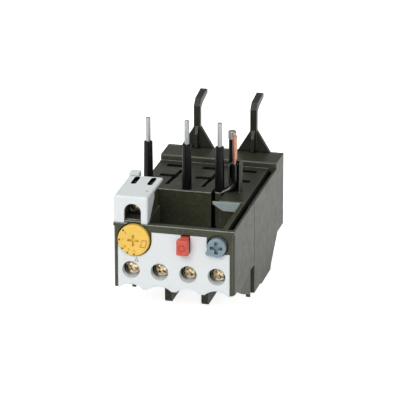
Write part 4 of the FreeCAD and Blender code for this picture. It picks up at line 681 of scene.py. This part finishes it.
def film(name, bm, slot):
    """Painted shade: a thin dull black shell from loose faces that lie just over a surface of the
    relay.
    """
    bmesh.ops.remove_doubles(bm, verts=bm.verts, dist=FILM_SEAM)
    bmesh.ops.solidify(bm, geom=list(bm.faces), thickness=FILM_THICKNESS)
    finished(new_object(name, bm, SHADE_FILM), "relay", slot)


def groove_floors(name, node, depths, x_range=(-math.inf, math.inf)):
    """Film of painted shade on the floors of the grooves of a node, between two depths under its
    top.
    """
    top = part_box(node)[1][2]
    source = frame["nodes"][node].data
    lift = Vector((0, 0, FILM_LIFT))
    bm = bmesh.new()
    for polygon in source.polygons:
        x, _, z = polygon.center
        if polygon.normal.z < LEVEL or not depths[0] < top - z < depths[1]:
            continue
        if x_range[0] < x < x_range[1]:
            bm.faces.new([bm.verts.new(source.vertices[k].co + lift) for k in polygon.vertices])
    film(name, bm, "black_housing")


def vent_shade_border(name, place, height):
    """Film of painted shade on the deck round a vent."""
    bm = bmesh.new()
    loops = []
    for reach in (0.0, BORDER_WIDTH):
        wide, deep = VENT_HALF[0] + reach, VENT_HALF[1] + reach
        loops.append([bm.verts.new((place[0] + x * wide, place[1] + y * deep, height + FILM_LIFT))
                      for x, y in SQUARE])
    band(bm, loops[0], loops[1])
    film(name, bm, "black_housing")


def wall_shade(name, node, slot, places, half, top, depth):
    """Film of painted shade on the upright walls of slots through a node, from its top down."""
    source = frame["nodes"][node].data
    bm = bmesh.new()
    for polygon in source.polygons:
        at = polygon.center
        if abs(polygon.normal.z) > UPRIGHT or not top - depth < at.z < top:
            continue
        if any(abs(at.x - x) < half[0] and abs(at.y - y) < half[1] for x, y in places):
            shift = polygon.normal * FILM_LIFT
            bm.faces.new([bm.verts.new(source.vertices[k].co + shift) for k in polygon.vertices])
    film(name, bm, slot)


def dark_openings():
    """Films of painted shade in and round the vents, in the cap's wire slots and on the grooves'
    floors.
    """
    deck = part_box("deck_cover")[1][2] - DECK_DEPTH
    wall_shade("vent_wall_shade", "deck_cover", "black_housing", VENTS, VENT_WALLS, deck, VENT_DEPTH)
    low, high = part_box("terminal_cap")
    slots = [(low[0] + x, high[1] - CAP_SLOTS_Y) for x in CAP_SLOTS_X]
    wall_shade("cap_slot_wall_shade", "terminal_cap", "white_plastic", slots, CAP_SLOT_WALLS, CAP_TOP,
           CAP_DEPTH)
    # A dark plate under the cap's ear, seen through the left slot: painted shade.
    place = (low[0] + CAP_SLOTS_X[0], high[1] - SHADE_PLATE_Y, SHADE_PLATE_Z)
    shade_plate = flat_mark("cap_slot_shade_plate", SHADE_PLATE_OUTLINE, place, SHADE_PLATE_THICKNESS, SHADE_FILM)
    finished(shade_plate, "relay", "black_housing")
    for index, vent in enumerate(VENTS):
        vent_shade_border("vent_border_%d_%d" % divmod(index, VENT_COLUMNS), vent, deck)
    groove_floors("deck_groove_shade", "deck_cover", DECK_GROOVES)
    groove_floors("rail_groove_shade", "housing_base", RAIL_GROOVE, RAIL_X)


dark_openings()
screws("aux_screws_visual", "aux_terminal_screws", (18, 32, -40, -44))
screws("main_screws_visual", "main_terminal_screws", (12, -25, 40))
screws("coil_screw_visual", "coil_terminal_screw", (25,))
stop_button()
knob()
pressed_spring("stop_spring")
pressed_spring("reset_spring")
dial_marks()
pointer()


# ---- light, floor and camera --------------------------------------------------------------------
CAMERA_PLACE = (0.28902, -1.18781, 0.47788)
CAMERA_AZIMUTH = math.radians(13.72)
CAMERA_ELEVATION = math.radians(20.05)
CAMERA_LENS = 314.8
SENSOR_WIDTH = 36.0
CAMERA_REACH = 20.0

LAMP_TARGET = (0, 0, 0.03)
# Name, place, width and height, power.
LAMPS = (
    ("key", (-0.14, -1.1, 0.85), (0.8, 0.6), 7.9),
    ("strip", (-0.25, -0.14, 1.05), (0.8, 0.07), 1.35),
    ("top", (0.1, 0.15, 1.3), (1.2, 1.2), 0.55),
    ("glint_left", (-0.55, -1.0, 0.2), (0.05, 0.5), 0.5),
    ("glint_right", (0.62, -0.95, 0.5), (0.05, 0.5), 0.5),
    ("right", (1.2, 0.3, 0.35), (0.8, 0.8), 0.5),
)
WORLD_HEIGHTS = (-0.2, 0.9)  # where the surroundings begin and end to get lighter
WORLD_LIGHT = (0.25, 0.5)

FLOOR_HALF = 6.0
FLOOR_TONES = ((0.86, 0.86, 0.86, 1), (0.9, 0.9, 0.9, 1))
FLOOR_NOISE = 0.4
FLOOR_GLOW = 0.84  # brings the lit floor to white for the camera
MIRRORED_GLOW = 0.45  # share of it that gloss and metal see


def camera():
    """Camera at the photograph's viewing angle."""
    data = bpy.data.cameras.new("camera")
    data.lens = CAMERA_LENS
    data.sensor_width = SENSOR_WIDTH
    data.clip_end = CAMERA_REACH
    obj = linked("camera", data)
    obj.location = CAMERA_PLACE
    obj.rotation_euler = (math.pi / 2 - CAMERA_ELEVATION, 0, CAMERA_AZIMUTH)
    bpy.context.scene.camera = obj


def lights():
    """Soft rectangular lamps, all turned to the object."""
    for name, place, size, power in LAMPS:
        data = bpy.data.lights.new(name, "AREA")
        data.shape = "RECTANGLE"
        data.size, data.size_y = size
        data.energy = power
        obj = linked(name, data)
        obj.location = place
        aim = Vector(LAMP_TARGET) - Vector(place)
        obj.rotation_euler = aim.to_track_quat("-Z", "Y").to_euler()


def world():
    """Even grey surroundings, lighter above."""
    studio = bpy.data.worlds.new("studio")
    bpy.context.scene.world = studio
    studio.use_nodes = True
    tree = studio.node_tree
    background = tree.nodes["Background"]
    height = tree.nodes.new("ShaderNodeSeparateXYZ")
    tree.links.new(tree.nodes.new("ShaderNodeTexCoord").outputs["Generated"], height.inputs[0])
    ramp = tree.nodes.new("ShaderNodeMapRange")
    for socket, value in zip(("From Min", "From Max", "To Min", "To Max"),
                             WORLD_HEIGHTS + WORLD_LIGHT):
        ramp.inputs[socket].default_value = value
    tree.links.new(height.outputs["Z"], ramp.inputs["Value"])
    tree.links.new(ramp.outputs["Result"], background.inputs["Color"])
    background.inputs["Strength"].default_value = 1.0


def floor():
    """Pale floor that the camera sees as white, with the object's soft shadow kept."""
    mesh = bpy.data.meshes.new("floor")
    corners = [(x * FLOOR_HALF, y * FLOOR_HALF, 0) for x, y in SQUARE]
    mesh.from_pydata(corners, [], [(0, 1, 2, 3)])
    obj = linked("floor", mesh)
    m = Material("floor", 0.9)
    m.colour(m.mix(m.noise(FLOOR_NOISE), *FLOOR_TONES))
    path = m.add("ShaderNodeLightPath").outputs
    mirrored = m.maths("MULTIPLY", path["Is Glossy Ray"], MIRRORED_GLOW)
    seen = m.maths("MAXIMUM", path["Is Camera Ray"], mirrored)
    m.put(m.shader.inputs["Emission Strength"], m.maths("MULTIPLY", seen, FLOOR_GLOW))
    m.put(m.shader.inputs["Emission Color"], (1, 1, 1, 1))
    mesh.materials.append(m.material)


world()
floor()
lights()
camera()

scene = bpy.context.scene
scene.view_settings.view_transform = "Standard"
